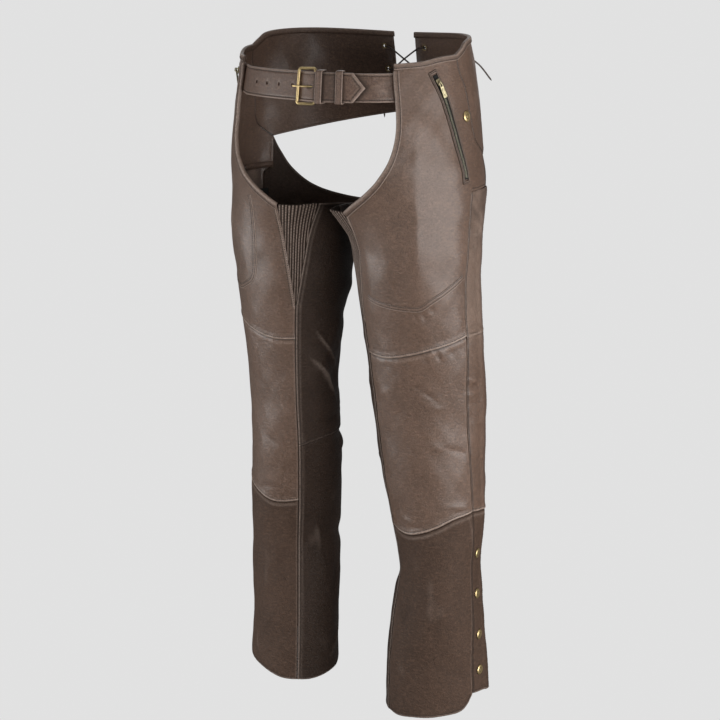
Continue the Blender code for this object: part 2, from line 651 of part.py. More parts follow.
def build_pocket_zip():
    """Slanting hip pocket: tape on the panel, a welt frame round it, slider and pull tab."""
    steps = np.linspace(0.0, 1.0, 13)
    rings = []
    for share in steps:
        ring = [place(*on_zip(share, aside), lift) for aside, lift in
                ((-ZIP_SLOT / 2 + CLEAR, CLEAR), (ZIP_SLOT / 2 - CLEAR, CLEAR),
                 (ZIP_SLOT / 2 - CLEAR, CLEAR + ZIP_TAPE), (-ZIP_SLOT / 2 + CLEAR, CLEAR + ZIP_TAPE))]
        rings.append(ring)
    points, faces = sweep(rings)
    for made in per_side("pocket_zip", points, faces, "tape"):
        outside_out(made)
    # The welt frame: one closed loop, down one side and back up the other.
    loop = [(share, 1.0) for share in np.linspace(-0.012, 1.012, 14)]
    loop += [(share, -1.0) for share in np.linspace(1.012, -0.012, 14)]
    rings = []
    for share, side in loop:
        end = 0.032 if share > 0.5 else -0.032
        outer_share = share + (end if share < 0.0 or share > 1.0 else 0.0)
        inner, outer = side * ZIP_SLOT / 2, side * ZIP_WIDTH / 2
        ring = [place(*on_zip(share, inner), CLEAR), place(*on_zip(outer_share, outer), CLEAR),
                place(*on_zip(outer_share, outer), CLEAR + 1.2 * MM),
                place(*on_zip(share, inner), CLEAR + 1.8 * MM)]
        rings.append(ring)
    points, faces = sweep(rings, closed=True)
    for made in per_side("pocket_welt", points, faces, "leather"):
        outside_out(made)


def build_snaps():
    spots = [("hip_snap", HIP_SNAP[0], HIP_SNAP[1], CLEAR)]
    spots += [("leg_snap_%d" % (n + 1), LEG_SNAP_ANGLE, h, None) for n, h in enumerate(SNAP_HEIGHTS)]
    r = SNAP_DIAMETER / 2
    profile = ((r * 0.92, 0.0), (r, 0.7 * MM), (r * 0.94, 1.5 * MM), (r * 0.62, 2.5 * MM))
    for name, angle, height, lift in spots:
        if lift is None:
            lift = float(strip_lift(0.0)(np.array(angle), height)) + CLEAR + 0.2 * MM
        points, faces = stud(*frame_at(angle, height), lift, profile)
        for made in per_side(name, points, faces, "brass"):
            outside_out(made)


# ---------------------------------------------------------------- the belt
def belt_point(distance, height, lift):
    """A point of the belt, from its distance round the body, its height and its lift."""
    half_width, half_depth = column(HIP_SECTIONS, 0.0)
    turns = np.radians(np.linspace(-90, 90, 721))
    steps = np.hypot(np.diff(half_width * np.sin(turns)), np.diff(half_depth * np.cos(turns)))
    along = np.concatenate([[0.0], np.cumsum(steps)])
    along -= np.interp(0.0, turns, along)
    turn = float(np.interp(distance, along, turns))
    half_width, half_depth = column(HIP_SECTIONS, height)
    foot = np.array([half_width * math.sin(turn), -half_depth * math.cos(turn), height])
    out = np.array([math.sin(turn) / half_width, -math.cos(turn) / half_depth, 0.0])
    return foot + out / np.linalg.norm(out) * lift


def fine_path(points, spacing):
    """A smooth path through (distance, lift) points, with a point about every spacing."""
    knots = np.array(points, float)
    ends = np.vstack([2 * knots[0] - knots[1], knots, 2 * knots[-1] - knots[-2]])
    fine = []
    for p0, p1, p2, p3 in zip(ends, ends[1:], ends[2:], ends[3:]):
        for t in np.linspace(0, 1, 12, endpoint=False):
            fine.append(0.5 * (2 * p1 + (p2 - p0) * t + (2 * p0 - 5 * p1 + 4 * p2 - p3) * t**2
                               + (3 * p1 - 3 * p2 + p3 - p0) * t**3))
    fine = np.vstack([fine, knots[-1]])
    along = np.concatenate([[0.0], np.cumsum(np.hypot(*np.diff(fine, axis=0).T))])
    at = np.linspace(0.0, along[-1], max(int(round(along[-1] / spacing)), 2) + 1)
    return np.column_stack([np.interp(at, along, fine[:, k]) for k in (0, 1)])


def on_belt(point, height):
    """The place of a (distance, lift) point at a height."""
    return belt_point(point[0], height, point[1])


def strap(name, path, half_heights, side):
    """A strap along a (distance, lift) path; side turns the thickness to the path's left."""
    run = np.gradient(path, axis=0)
    run /= np.linalg.norm(run, axis=1, keepdims=True)
    normal = np.column_stack([-run[:, 1], run[:, 0]]) * side * STRAP / 2
    rings = []
    for point, edge, half in zip(path, normal, half_heights):
        rings.append([on_belt(point + edge, -half), on_belt(point + edge, half),
                      on_belt(point - edge, half), on_belt(point - edge, -half)])
    points, faces = sweep(rings)
    return outside_out(add(name, points, faces, "leather"))


def build_belt():
    # The right strap: it passes through the buckle, and its pointed tip lies on the left strap.
    path = fine_path(RIGHT_STRAP_PATH, 0.0088)
    half = np.full(len(path), BELT_WIDTH / 2)
    taper = (STRAP_TIP - path[:, 0]) / (STRAP_TIP - STRAP_SHOULDER)
    half = half * np.clip(taper, 0.04, 1.0)
    right = strap("belt_right_strap", path, half, 1.0)
    for n, distance in enumerate(STRAP_HOLES):
        lift = float(np.interp(distance, path[:, 0], path[:, 1]))
        drill(right, "strap_hole_%d" % (n + 1), belt_point(distance, 0.0, lift - 4 * MM),
              belt_point(distance, 0.0, lift + 4 * MM), HOLE_DIAMETER)
    middle, length, height = PRONG_SLOT
    ring = [(-length / 2, -height / 2), (length / 2, -height / 2), (length / 2, height / 2),
            (-length / 2, height / 2)]
    rings = [[belt_point(middle + s, z, lift) for s, z in ring] for lift in (-0.004, 0.011)]
    points, faces = sweep(rings)
    slot = outside_out(add("prong_slot", points, faces, "leather"))
    cut_away(right, slot)

    # The left strap: it folds round the buckle's hinge rod and back under itself.
    loop = BUCKLE_ROD / 2 + CLEAR + STRAP / 2
    bend = [(HINGE + loop * math.sin(turn), HINGE_LIFT + loop * math.cos(turn))
            for turn in np.radians([0, -35, -70, -105, -140, -180])]
    rear = [(HINGE + 0.0090, -0.0052), (HINGE + 0.0180, -0.0045), (FOLD_END, -0.0045)]
    front = fine_path(LEFT_STRAP_PATH, 0.0085)
    back = fine_path([bend[-1]] + rear, 0.0085)[1:]
    path = np.vstack([front, bend, back])
    left = strap("belt_left_strap", path, np.full(len(path), BELT_WIDTH / 2 - 0.8 * MM), -1.0)
    ring = [(-0.0062, -0.0026), (0.0085, -0.0026), (0.0085, 0.0026), (-0.0062, 0.0026)]
    rings = [[belt_point(HINGE + s, z, lift) for s, z in ring] for lift in (-0.012, 0.004)]
    points, faces = sweep(rings)
    cut_away(left, outside_out(add("fold_slot", points, faces, "leather")))

    build_buckle()
    for n, (middle, low, high) in enumerate(KEEPERS):
        half = BELT_WIDTH / 2 + 0.5 * MM
        outline = [(-half, low), (half, low), (half + 0.4 * MM, low + 1.2 * MM),
                   (half + 0.4 * MM, high - 1.2 * MM), (half, high), (-half, high),
                   (-half - 0.4 * MM, high - 1.2 * MM), (-half - 0.4 * MM, low + 1.2 * MM)]
        middle_lift = (low + high) / 2
        rings = []
        for z, lift in outline:
            grown_z = z + math.copysign(KEEPER_LEATHER, z)
            grown = lift + math.copysign(KEEPER_LEATHER, lift - middle_lift)
            ends = [middle - KEEPER_WIDTH / 2, middle + KEEPER_WIDTH / 2]
            flat = abs(abs(z) - half) < 1e-6
            outer = (grown_z - math.copysign(0.8 * MM, z), grown) if flat else (grown_z, lift)
            rings.append([belt_point(ends[0], z, lift), belt_point(ends[1], z, lift),
                          belt_point(ends[1], *outer), belt_point(ends[0], *outer)])
        points, faces = sweep(rings, closed=True)
        outside_out(add("belt_keeper_%d" % (n + 1), points, faces, "leather"))


def cut_away(target, tool):
    tool.hide_render = True
    tool.display_type = "WIRE"
    cut = target.modifiers.new(tool.name, "BOOLEAN")
    cut.operation, cut.solver, cut.object = "DIFFERENCE", "EXACT", tool


def tube(centres, radius, sides):
    """A round bar along centre points, with its rings kept from twisting."""
    centres = np.array(centres, float)
    run = np.gradient(centres, axis=0)
    run /= np.linalg.norm(run, axis=1, keepdims=True)
    start = np.cross(run[0], (0.0, 0.0, 1.0))
    if np.linalg.norm(start) < 0.2:
        start = np.cross(run[0], (0.0, 1.0, 0.0))
    rings = []
    for k in range(len(centres)):
        start = start - run[k] * np.dot(start, run[k])
        start /= np.linalg.norm(start)
        side = np.cross(run[k], start)
        rings.append([centres[k] + radius * (start * math.cos(t) + side * math.sin(t))
                      for t in 2 * math.pi * np.arange(sides) / sides])
    return sweep(rings)


def build_buckle():
    """A rectangular frame of round bar with soft corners, and the prong that turns on its rod."""
    half = BUCKLE_OUTER_HEIGHT / 2 - BUCKLE_ROD / 2
    corner = 0.0036
    length = HINGE - FAR_ROD

    def bar(share, z):
        return belt_point(FAR_ROD + share * length, z, FAR_ROD_LIFT + share * (HINGE_LIFT - FAR_ROD_LIFT))
    cut = corner / length
    outline = [bar(0, -half + corner), bar(0, -half / 2), bar(0, 0.0), bar(0, half / 2),
               bar(0, half - corner), bar(cut * 0.3, half - corner * 0.3), bar(cut, half),
               bar(0.5, half), bar(1 - cut, half), bar(1 - cut * 0.3, half - corner * 0.3),
               bar(1, half - corner), bar(1, half / 2), bar(1, 0.0), bar(1, -half / 2),
               bar(1, -half + corner), bar(1 - cut * 0.3, -half + corner * 0.3), bar(1 - cut, -half),
               bar(0.5, -half), bar(cut, -half), bar(cut * 0.3, -half + corner * 0.3)]
    points, faces = planar_loop(outline, BUCKLE_ROD / 2, 8)
    smooth(outside_out(add("buckle_frame", points, faces, "brass")), 60.0)

    loop = BUCKLE_ROD / 2 + CLEAR + PRONG / 2
    path = [(HINGE + loop * math.sin(turn), HINGE_LIFT + loop * math.cos(turn))
            for turn in np.radians([-150, -180, -215, -250, -285, -325])]
    rest = FAR_ROD_LIFT + BUCKLE_ROD / 2 + CLEAR + PRONG / 2
    path += [(0.0262, 0.0023), (0.0224, 0.0045), (0.0170, 0.0062), (0.0105, rest - 0.0001),
             (0.0045, rest), (0.0010, rest), (PRONG_TIP + 0.002, rest - 0.0007),
             (PRONG_TIP, rest - 0.0013)]
    centres = [belt_point(distance, 0.0, lift) for distance, lift in path]
    points, faces = tube(centres, PRONG / 2, 8)
    smooth(outside_out(add("buckle_prong", points, faces, "brass")), 60.0)


def planar_loop(centres, radius, sides):
    """A closed bar through points that lie in or near one plane."""
    centres = np.array(centres)
    flat = np.linalg.svd(centres - centres.mean(axis=0))[2][2]
    run = np.roll(centres, -1, axis=0) - np.roll(centres, 1, axis=0)
    run /= np.linalg.norm(run, axis=1, keepdims=True)
    rings = []
    for centre, ahead in zip(centres, run):
        side = np.cross(ahead, flat)
        side /= np.linalg.norm(side)
        rings.append([centre + radius * (side * math.cos(t) + flat * math.sin(t))
                      for t in 2 * math.pi * np.arange(sides) / sides])
    return sweep(rings, closed=True)


# ---------------------------------------------------------------- the lacing and the pull tabs
def build_lacing(yokes):
    left, right = yokes
    mirror = np.array([-1.0, 1.0, 1.0])
    for n, height in enumerate(EYELET_HEIGHTS):
        centre, across, up, out = frame_at(EYELET_ANGLE, height)
        for yoke, flip, word in ((left, np.ones(3), "left"), (right, mirror, "right")):
            drill(yoke, "%s_lace_hole_%d" % (word, n + 1), (centre - out * 0.006) * flip,
                  (centre + out * 0.006) * flip, EYELET_INNER + 1.4 * MM)
        section = ((EYELET_INNER / 2, CLEAR), (EYELET_OUTER / 2, CLEAR),
                   (EYELET_OUTER / 2 - 0.7 * MM, CLEAR + 1.0 * MM),
                   (EYELET_INNER / 2 + 0.5 * MM, CLEAR + 1.3 * MM))
        rings = []
        for turn in 2 * math.pi * np.arange(10) / 10:
            spoke = across * math.cos(turn) + up * math.sin(turn)
            rings.append([centre + spoke * radius + out * lift for radius, lift in section])
        points, faces = sweep(rings, closed=True)
        for made in per_side("eyelet_%d" % (n + 1), points, faces, "brass"):
            outside_out(made)

    def by_eyelet(side, n, lift, inward=0.0):
        point = place(np.array(EYELET_ANGLE + inward), np.array(EYELET_HEIGHTS[n]), np.array(lift))
        return point * np.array([side, 1.0, 1.0])

    def between(height, lift):
        """A waypoint on the middle plane, behind the wearer's back."""
        return np.array([0.0, column(HIP_SECTIONS, height)[1] + lift, height])

    def through(side, n, outwards, lean=1.0):
        """Waypoints of the lace through one eyelet, to the outside or back to the inside."""
        steps = [(2.6, -5.4 * MM), (1.10, -5.2 * MM), (0.0, -0.4 * MM), (1.10 * lean, 4.6 * MM),
                 (2.6 * lean, 4.8 * MM)]
        return [by_eyelet(side, n, lift, inward) for inward, lift in (steps if outwards else steps[::-1])]

    stops = [(0.0660, 0.2620, -0.0130), (0.0560, 0.2360, 0.0120), (0.0440, 0.2010, 0.0300)]
    stops += through(1, 0, False, -0.4)[1:] + [between(0.0200, -5.8 * MM)]
    stops += through(-1, 1, True) + [between(-0.0160, 5.8 * MM)]
    stops += through(1, 2, False) + [between(-0.0345, -6.0 * MM)]
    stops += through(-1, 2, True) + [between(-0.0160, 10.2 * MM)]
    stops += through(1, 1, False) + [between(0.0200, -10.4 * MM)]
    stops += through(-1, 0, True, -0.4)[:-1]
    stops += [(-0.0480, 0.1500, 0.0250), (-0.0560, 0.1580, -0.0050), (-0.0600, 0.1650, -0.0400),
              (-0.0610, 0.1720, -0.0800)]
    knots = np.array([np.array(stop, float) for stop in stops])
    ends = np.vstack([2 * knots[0] - knots[1], knots, 2 * knots[-1] - knots[-2]])
    fine = []
    for p0, p1, p2, p3 in zip(ends, ends[1:], ends[2:], ends[3:]):
        # Centripetal spacing keeps the tight turns through the eyelets from looping.
        t0, t1 = 0.0, np.linalg.norm(p1 - p0) ** 0.5
        t2 = t1 + np.linalg.norm(p2 - p1) ** 0.5
        t3 = t2 + np.linalg.norm(p3 - p2) ** 0.5
        for t in np.linspace(t1, t2, 12, endpoint=False):
            a1 = (t1 - t) / (t1 - t0) * p0 + (t - t0) / (t1 - t0) * p1
            a2 = (t2 - t) / (t2 - t1) * p1 + (t - t1) / (t2 - t1) * p2
            a3 = (t3 - t) / (t3 - t2) * p2 + (t - t2) / (t3 - t2) * p3
            b1 = (t2 - t) / (t2 - t0) * a1 + (t - t0) / (t2 - t0) * a2
            b2 = (t3 - t) / (t3 - t1) * a2 + (t - t1) / (t3 - t1) * a3
            fine.append((t2 - t) / (t2 - t1) * b1 + (t - t1) / (t2 - t1) * b2)
    fine = np.vstack([fine, knots[-1]])
    # Rings stand closer together where the lace turns.
    steps = np.diff(fine, axis=0)
    length = np.linalg.norm(steps, axis=1)
    aim = steps / length[:, None]
    turn = np.degrees(np.arccos(np.clip(np.sum(aim[1:] * aim[:-1], axis=1), -1, 1)))
    along = np.concatenate([[0.0], np.cumsum(length / 0.014 + np.append(turn, 0.0) / 32.0)])
    at = np.linspace(0.0, along[-1], 1 + int(round(along[-1])))
    centres = np.column_stack([np.interp(at, along, fine[:, k]) for k in range(3)])
    points, faces = tube(centres, LACE_DIAMETER / 2, 6)
    smooth(outside_out(add("back_lace", points, faces, "dark_leather")), 60.0)


def zip_frame():
    """Where the pull tab turns: foot on the panel, directions down the zip, across it and out."""
    here, below = on_zip(SLIDER_AT, 0.0), on_zip(SLIDER_AT + 0.05, 0.0)
    foot = worn(*here)
    out = outward(*here)
    down = worn(*below) - foot
    down = down - out * np.dot(down, out)
    down /= np.linalg.norm(down)
    return foot, down, np.cross(out, down), out


def block(foot, axes, low, high):
    """A plain block between two corners along the given directions."""
    corners = [(x, y, z) for z in (low[2], high[2]) for y in (low[1], high[1]) for x in (low[0], high[0])]
    points = [foot + axes[0] * x + axes[1] * y + axes[2] * z for x, y, z in corners]
    faces = [[0, 2, 3, 1], [4, 5, 7, 6], [0, 1, 5, 4], [2, 6, 7, 3], [0, 4, 6, 2], [1, 3, 7, 5]]
    return points, faces


def outline_solid(foot, axes, outline, low, high):
    """An outline in the first two directions, as thick as low to high in the third."""
    n = len(outline)
    points = [foot + axes[0] * u + axes[1] * v + axes[2] * w for w in (low, high) for u, v in outline]
    faces = [list(range(n))[::-1], list(range(n, 2 * n))]
    faces += [[k, (k + 1) % n, n + (k + 1) % n, n + k] for k in range(n)]
    return points, faces


def build_pulls():
    """A slider with a bridge, and the pull tab whose pin lies under the bridge."""
    foot, down, across, out = zip_frame()
    half = SLIDER_LENGTH / 2
    base, top = SLIDER_LIFT
    reach, leg = 3.1 * MM, 1.3 * MM
    roof = PIVOT_LIFT + PIN / 2 + 0.5 * MM
    wing = SLIDER_WIDTH / 2
    for word, flip, mirrored in (("left", 1.0, False), ("right", -1.0, True)):
        body_points, body_faces = block(foot, (down, across, out), (-half, -wing, base),
                                        (half, wing, top))
        body = outside_out(add(word + "_zip_slider", body_points, body_faces, "brass", mirrored))
        # The bridge is joined to the body, and the window for the pin is cut through it.
        bridge_points, bridge_faces = outline_solid(
            foot, (down, out, across),
            [(-reach, top - 0.5 * MM), (reach, top - 0.5 * MM), (reach, roof + leg - 0.6 * MM),
             (reach - 1.0 * MM, roof + leg), (-reach + 1.0 * MM, roof + leg),
             (-reach, roof + leg - 0.6 * MM)], -BRIDGE_WIDTH / 2, BRIDGE_WIDTH / 2)
        bridge = outside_out(add(word + "_bridge", bridge_points, bridge_faces, "brass", mirrored))
        bridge.hide_render = True
        bridge.display_type = "WIRE"
        join = body.modifiers.new("bridge", "BOOLEAN")
        join.operation, join.solver, join.object = "UNION", "EXACT", bridge
        window_points, window_faces = block(foot, (down, across, out),
                                            (-reach + leg, -wing, top + 0.4 * MM),
                                            (reach - leg, wing, roof))
        window = outside_out(add(word + "_window", window_points, window_faces, "brass", mirrored))
        cut_away(body, window)

        # The tab hangs from its pin as its weight would have it, nearly along the zip.
        pivot = foot + out * PIVOT_LIFT
        gravity = np.array([0.0, 0.0, -1.0])
        hang = gravity - across * np.dot(gravity, across)
        hang /= np.linalg.norm(hang)
        face = np.cross(across, hang)
        face = face if np.dot(face, out) > 0 else -face
        width, pin = TAB_WIDTH / 2, PIN / 2
        outline = [(-pin, -width * 0.62), (-pin, width * 0.62), (4.5 * MM, width * 0.75),
                   (TAB_LENGTH * 0.55, width * 0.8), (TAB_LENGTH - 2.0 * MM, width),
                   (TAB_LENGTH, width * 0.55), (TAB_LENGTH, -width * 0.55),
                   (TAB_LENGTH - 2.0 * MM, -width), (TAB_LENGTH * 0.55, -width * 0.8),
                   (4.5 * MM, -width * 0.75)]
        tab_points, tab_faces = outline_solid(pivot, (hang, across, face), outline,
                                              -TAB_THICKNESS / 2, TAB_THICKNESS / 2)
        flip_all = np.array([flip, 1.0, 1.0])
        tab = add(word + "_pull_tab", tab_points, tab_faces, "brass", mirrored)
        outside_out(tab)
        hole_points, hole_faces = block(pivot, (hang, across, face),
                                        (pin, -BRIDGE_WIDTH / 2 - 0.45 * MM, -4.0 * MM),
                                        (6.2 * MM, BRIDGE_WIDTH / 2 + 0.45 * MM, 4.0 * MM))
        hole = outside_out(add(word + "_tab_hole", hole_points, hole_faces, "brass", mirrored))
        cut_away(tab, hole)
        # Its origin sits on the axis it turns about.
        shift = Vector(pivot * flip_all)
        for vert in tab.data.vertices:
            vert.co -= shift
        tab.location = shift
        hole.parent = tab
        hole.matrix_parent_inverse.identity()
        for vert in hole.data.vertices:
            vert.co -= shift


def build():
    for old in list(bpy.data.objects):
        bpy.data.objects.remove(old, do_unlink=True)
    yokes = build_panels()
    build_bindings()
    build_pocket_zip()
    build_snaps()
    build_belt()
    build_lacing(yokes)
    build_pulls()


build()
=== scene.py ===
"""Dresses the solids of a pair of leather riding chaps in worn leather, sewing, zips and brass.

Each leg is one worn surface, given by an angle round the leg (0 front, 90 outer side, 180 back,
270 inner side) and a height (0 at the middle of the belt). A piece is a patch of that surface, so
everything sewn on it follows the same creases. A side is 1 for the wearer's left leg and -1 for
the right one, which is worked out as a left leg and then mirrored.
"""
import json
import math

import bmesh
import bpy
import numpy as np
from bpy.props import FloatProperty, FloatVectorProperty, IntProperty, PointerProperty
from mathutils import Matrix, Vector


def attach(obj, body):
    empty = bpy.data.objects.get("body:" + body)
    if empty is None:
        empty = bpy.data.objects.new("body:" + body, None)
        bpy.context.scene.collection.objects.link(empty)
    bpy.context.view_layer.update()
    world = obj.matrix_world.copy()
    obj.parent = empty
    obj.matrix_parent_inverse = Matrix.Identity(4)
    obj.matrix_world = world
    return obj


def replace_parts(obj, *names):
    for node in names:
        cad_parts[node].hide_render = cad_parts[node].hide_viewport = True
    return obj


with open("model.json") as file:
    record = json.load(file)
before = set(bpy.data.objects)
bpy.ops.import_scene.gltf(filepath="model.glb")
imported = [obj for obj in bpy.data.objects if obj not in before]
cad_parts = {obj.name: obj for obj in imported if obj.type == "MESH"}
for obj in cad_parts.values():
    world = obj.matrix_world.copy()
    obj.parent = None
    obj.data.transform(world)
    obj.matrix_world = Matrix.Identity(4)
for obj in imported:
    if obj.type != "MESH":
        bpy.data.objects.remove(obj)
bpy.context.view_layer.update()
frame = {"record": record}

bl_info = {
    "name": "Leather Riding Chaps",
    "version": (1, 0, 0),
    "blender": (4, 5, 0),
    "location": "View3D > Sidebar > Chaps",
    "description": "Dresses the solids of a pair of chaps in worn leather, sewing, zips and brass",
    "category": "Object",
}

MM = 0.001
SIDES = (1, -1)                 # left, right
COLOURS = {m["slot"]: m["base_color"] for m in frame["record"]["materials"]}

# ---- sizes shared with the solids
LEATHER = 2.0 * MM              # wall of every cut panel
CLEAR = 0.35 * MM               # under anything that lies on a panel
INSEAM = -38.5                  # front panels start here
INSEAM_BACK = 360.0 + INSEAM    # the same seam, counted round the back
STRIP_FRONT = 81.0              # front edge of the outer side strip
STRIP_REAR = 118.0
BACK_FRONT_EDGE = 110.0         # the back panels' edge, under the strip
STRIP_TOP = -0.1525
STRIP_SEAM_DROP = 0.008         # from its front to its rear edge
GUSSET_TOP = -0.1825
GUSSET_TIP = -0.349
GUSSET_FRONT, GUSSET_BACK = -20.5, 308.5        # its top corners
LONG_AXIS = 34.0                # degrees from straight across, of the leg sections' long axis
LEG_SECTIONS = (
    # height, across, deep, half_long, half_short
    (-1.03, 0.1455, 0.024, 0.085, 0.076), (-0.92, 0.1415, 0.024, 0.08, 0.0715),
    (-0.84, 0.1415, 0.026, 0.0727, 0.0745), (-0.76, 0.1415, 0.028, 0.0645, 0.075),
    (-0.68, 0.138, 0.026, 0.0725, 0.0755), (-0.59, 0.1325, 0.019, 0.081, 0.0735),
    (-0.5, 0.13, 0.011, 0.0863, 0.0705), (-0.39, 0.1245, 0.003, 0.0895, 0.081),
    (-0.3, 0.1165, -0.003, 0.0933, 0.0935), (-0.22, 0.111, -0.004, 0.0985, 0.102),
    (-0.12, 0.098, 0, 0.106, 0.1), (0.12, 0.098, 0, 0.1, 0.1))
HIP_SECTIONS = (
    # height, half_width, half_depth
    (-0.26, 0.208, 0.15), (-0.18, 0.2165, 0.153), (-0.1, 0.206, 0.158), (0, 0.1925, 0.146),
    (0.1, 0.176, 0.13))
LEG_BLEND = (-0.250, -0.100)    # below the first height it is all leg, above the second all hip
MIDDLE_CLEAR = 0.004            # the leg stays this far from the body's middle plane
HIP_SHARPNESS = 14.0            # how closely the hip keeps to that plane
TURN_STEP, RISE_STEP = 0.4, 0.0006      # degrees and metres over which the surface's slope is taken
ROUND = 0.085                   # metres of a leg's girth for each radian, for placing folds
FOLDS = (
    # angle, height, tilt, half_length, half_width, rise
    (200, -0.545, 8, 0.075, 0.013, 0.005), (215, -0.58, -6, 0.085, 0.012, -0.0055),
    (190, -0.612, 4, 0.07, 0.013, 0.0045), (285, -0.43, -58, 0.06, 0.012, 0.0035),
    (268, -0.47, -52, 0.055, 0.013, -0.0035), (235, -0.335, 20, 0.06, 0.014, 0.004),
    (225, -0.385, 14, 0.06, 0.014, -0.0035), (245, -0.76, 24, 0.055, 0.014, -0.0045),
    (180, -0.82, -14, 0.06, 0.016, 0.004), (300, -0.775, 30, 0.035, 0.014, -0.004))

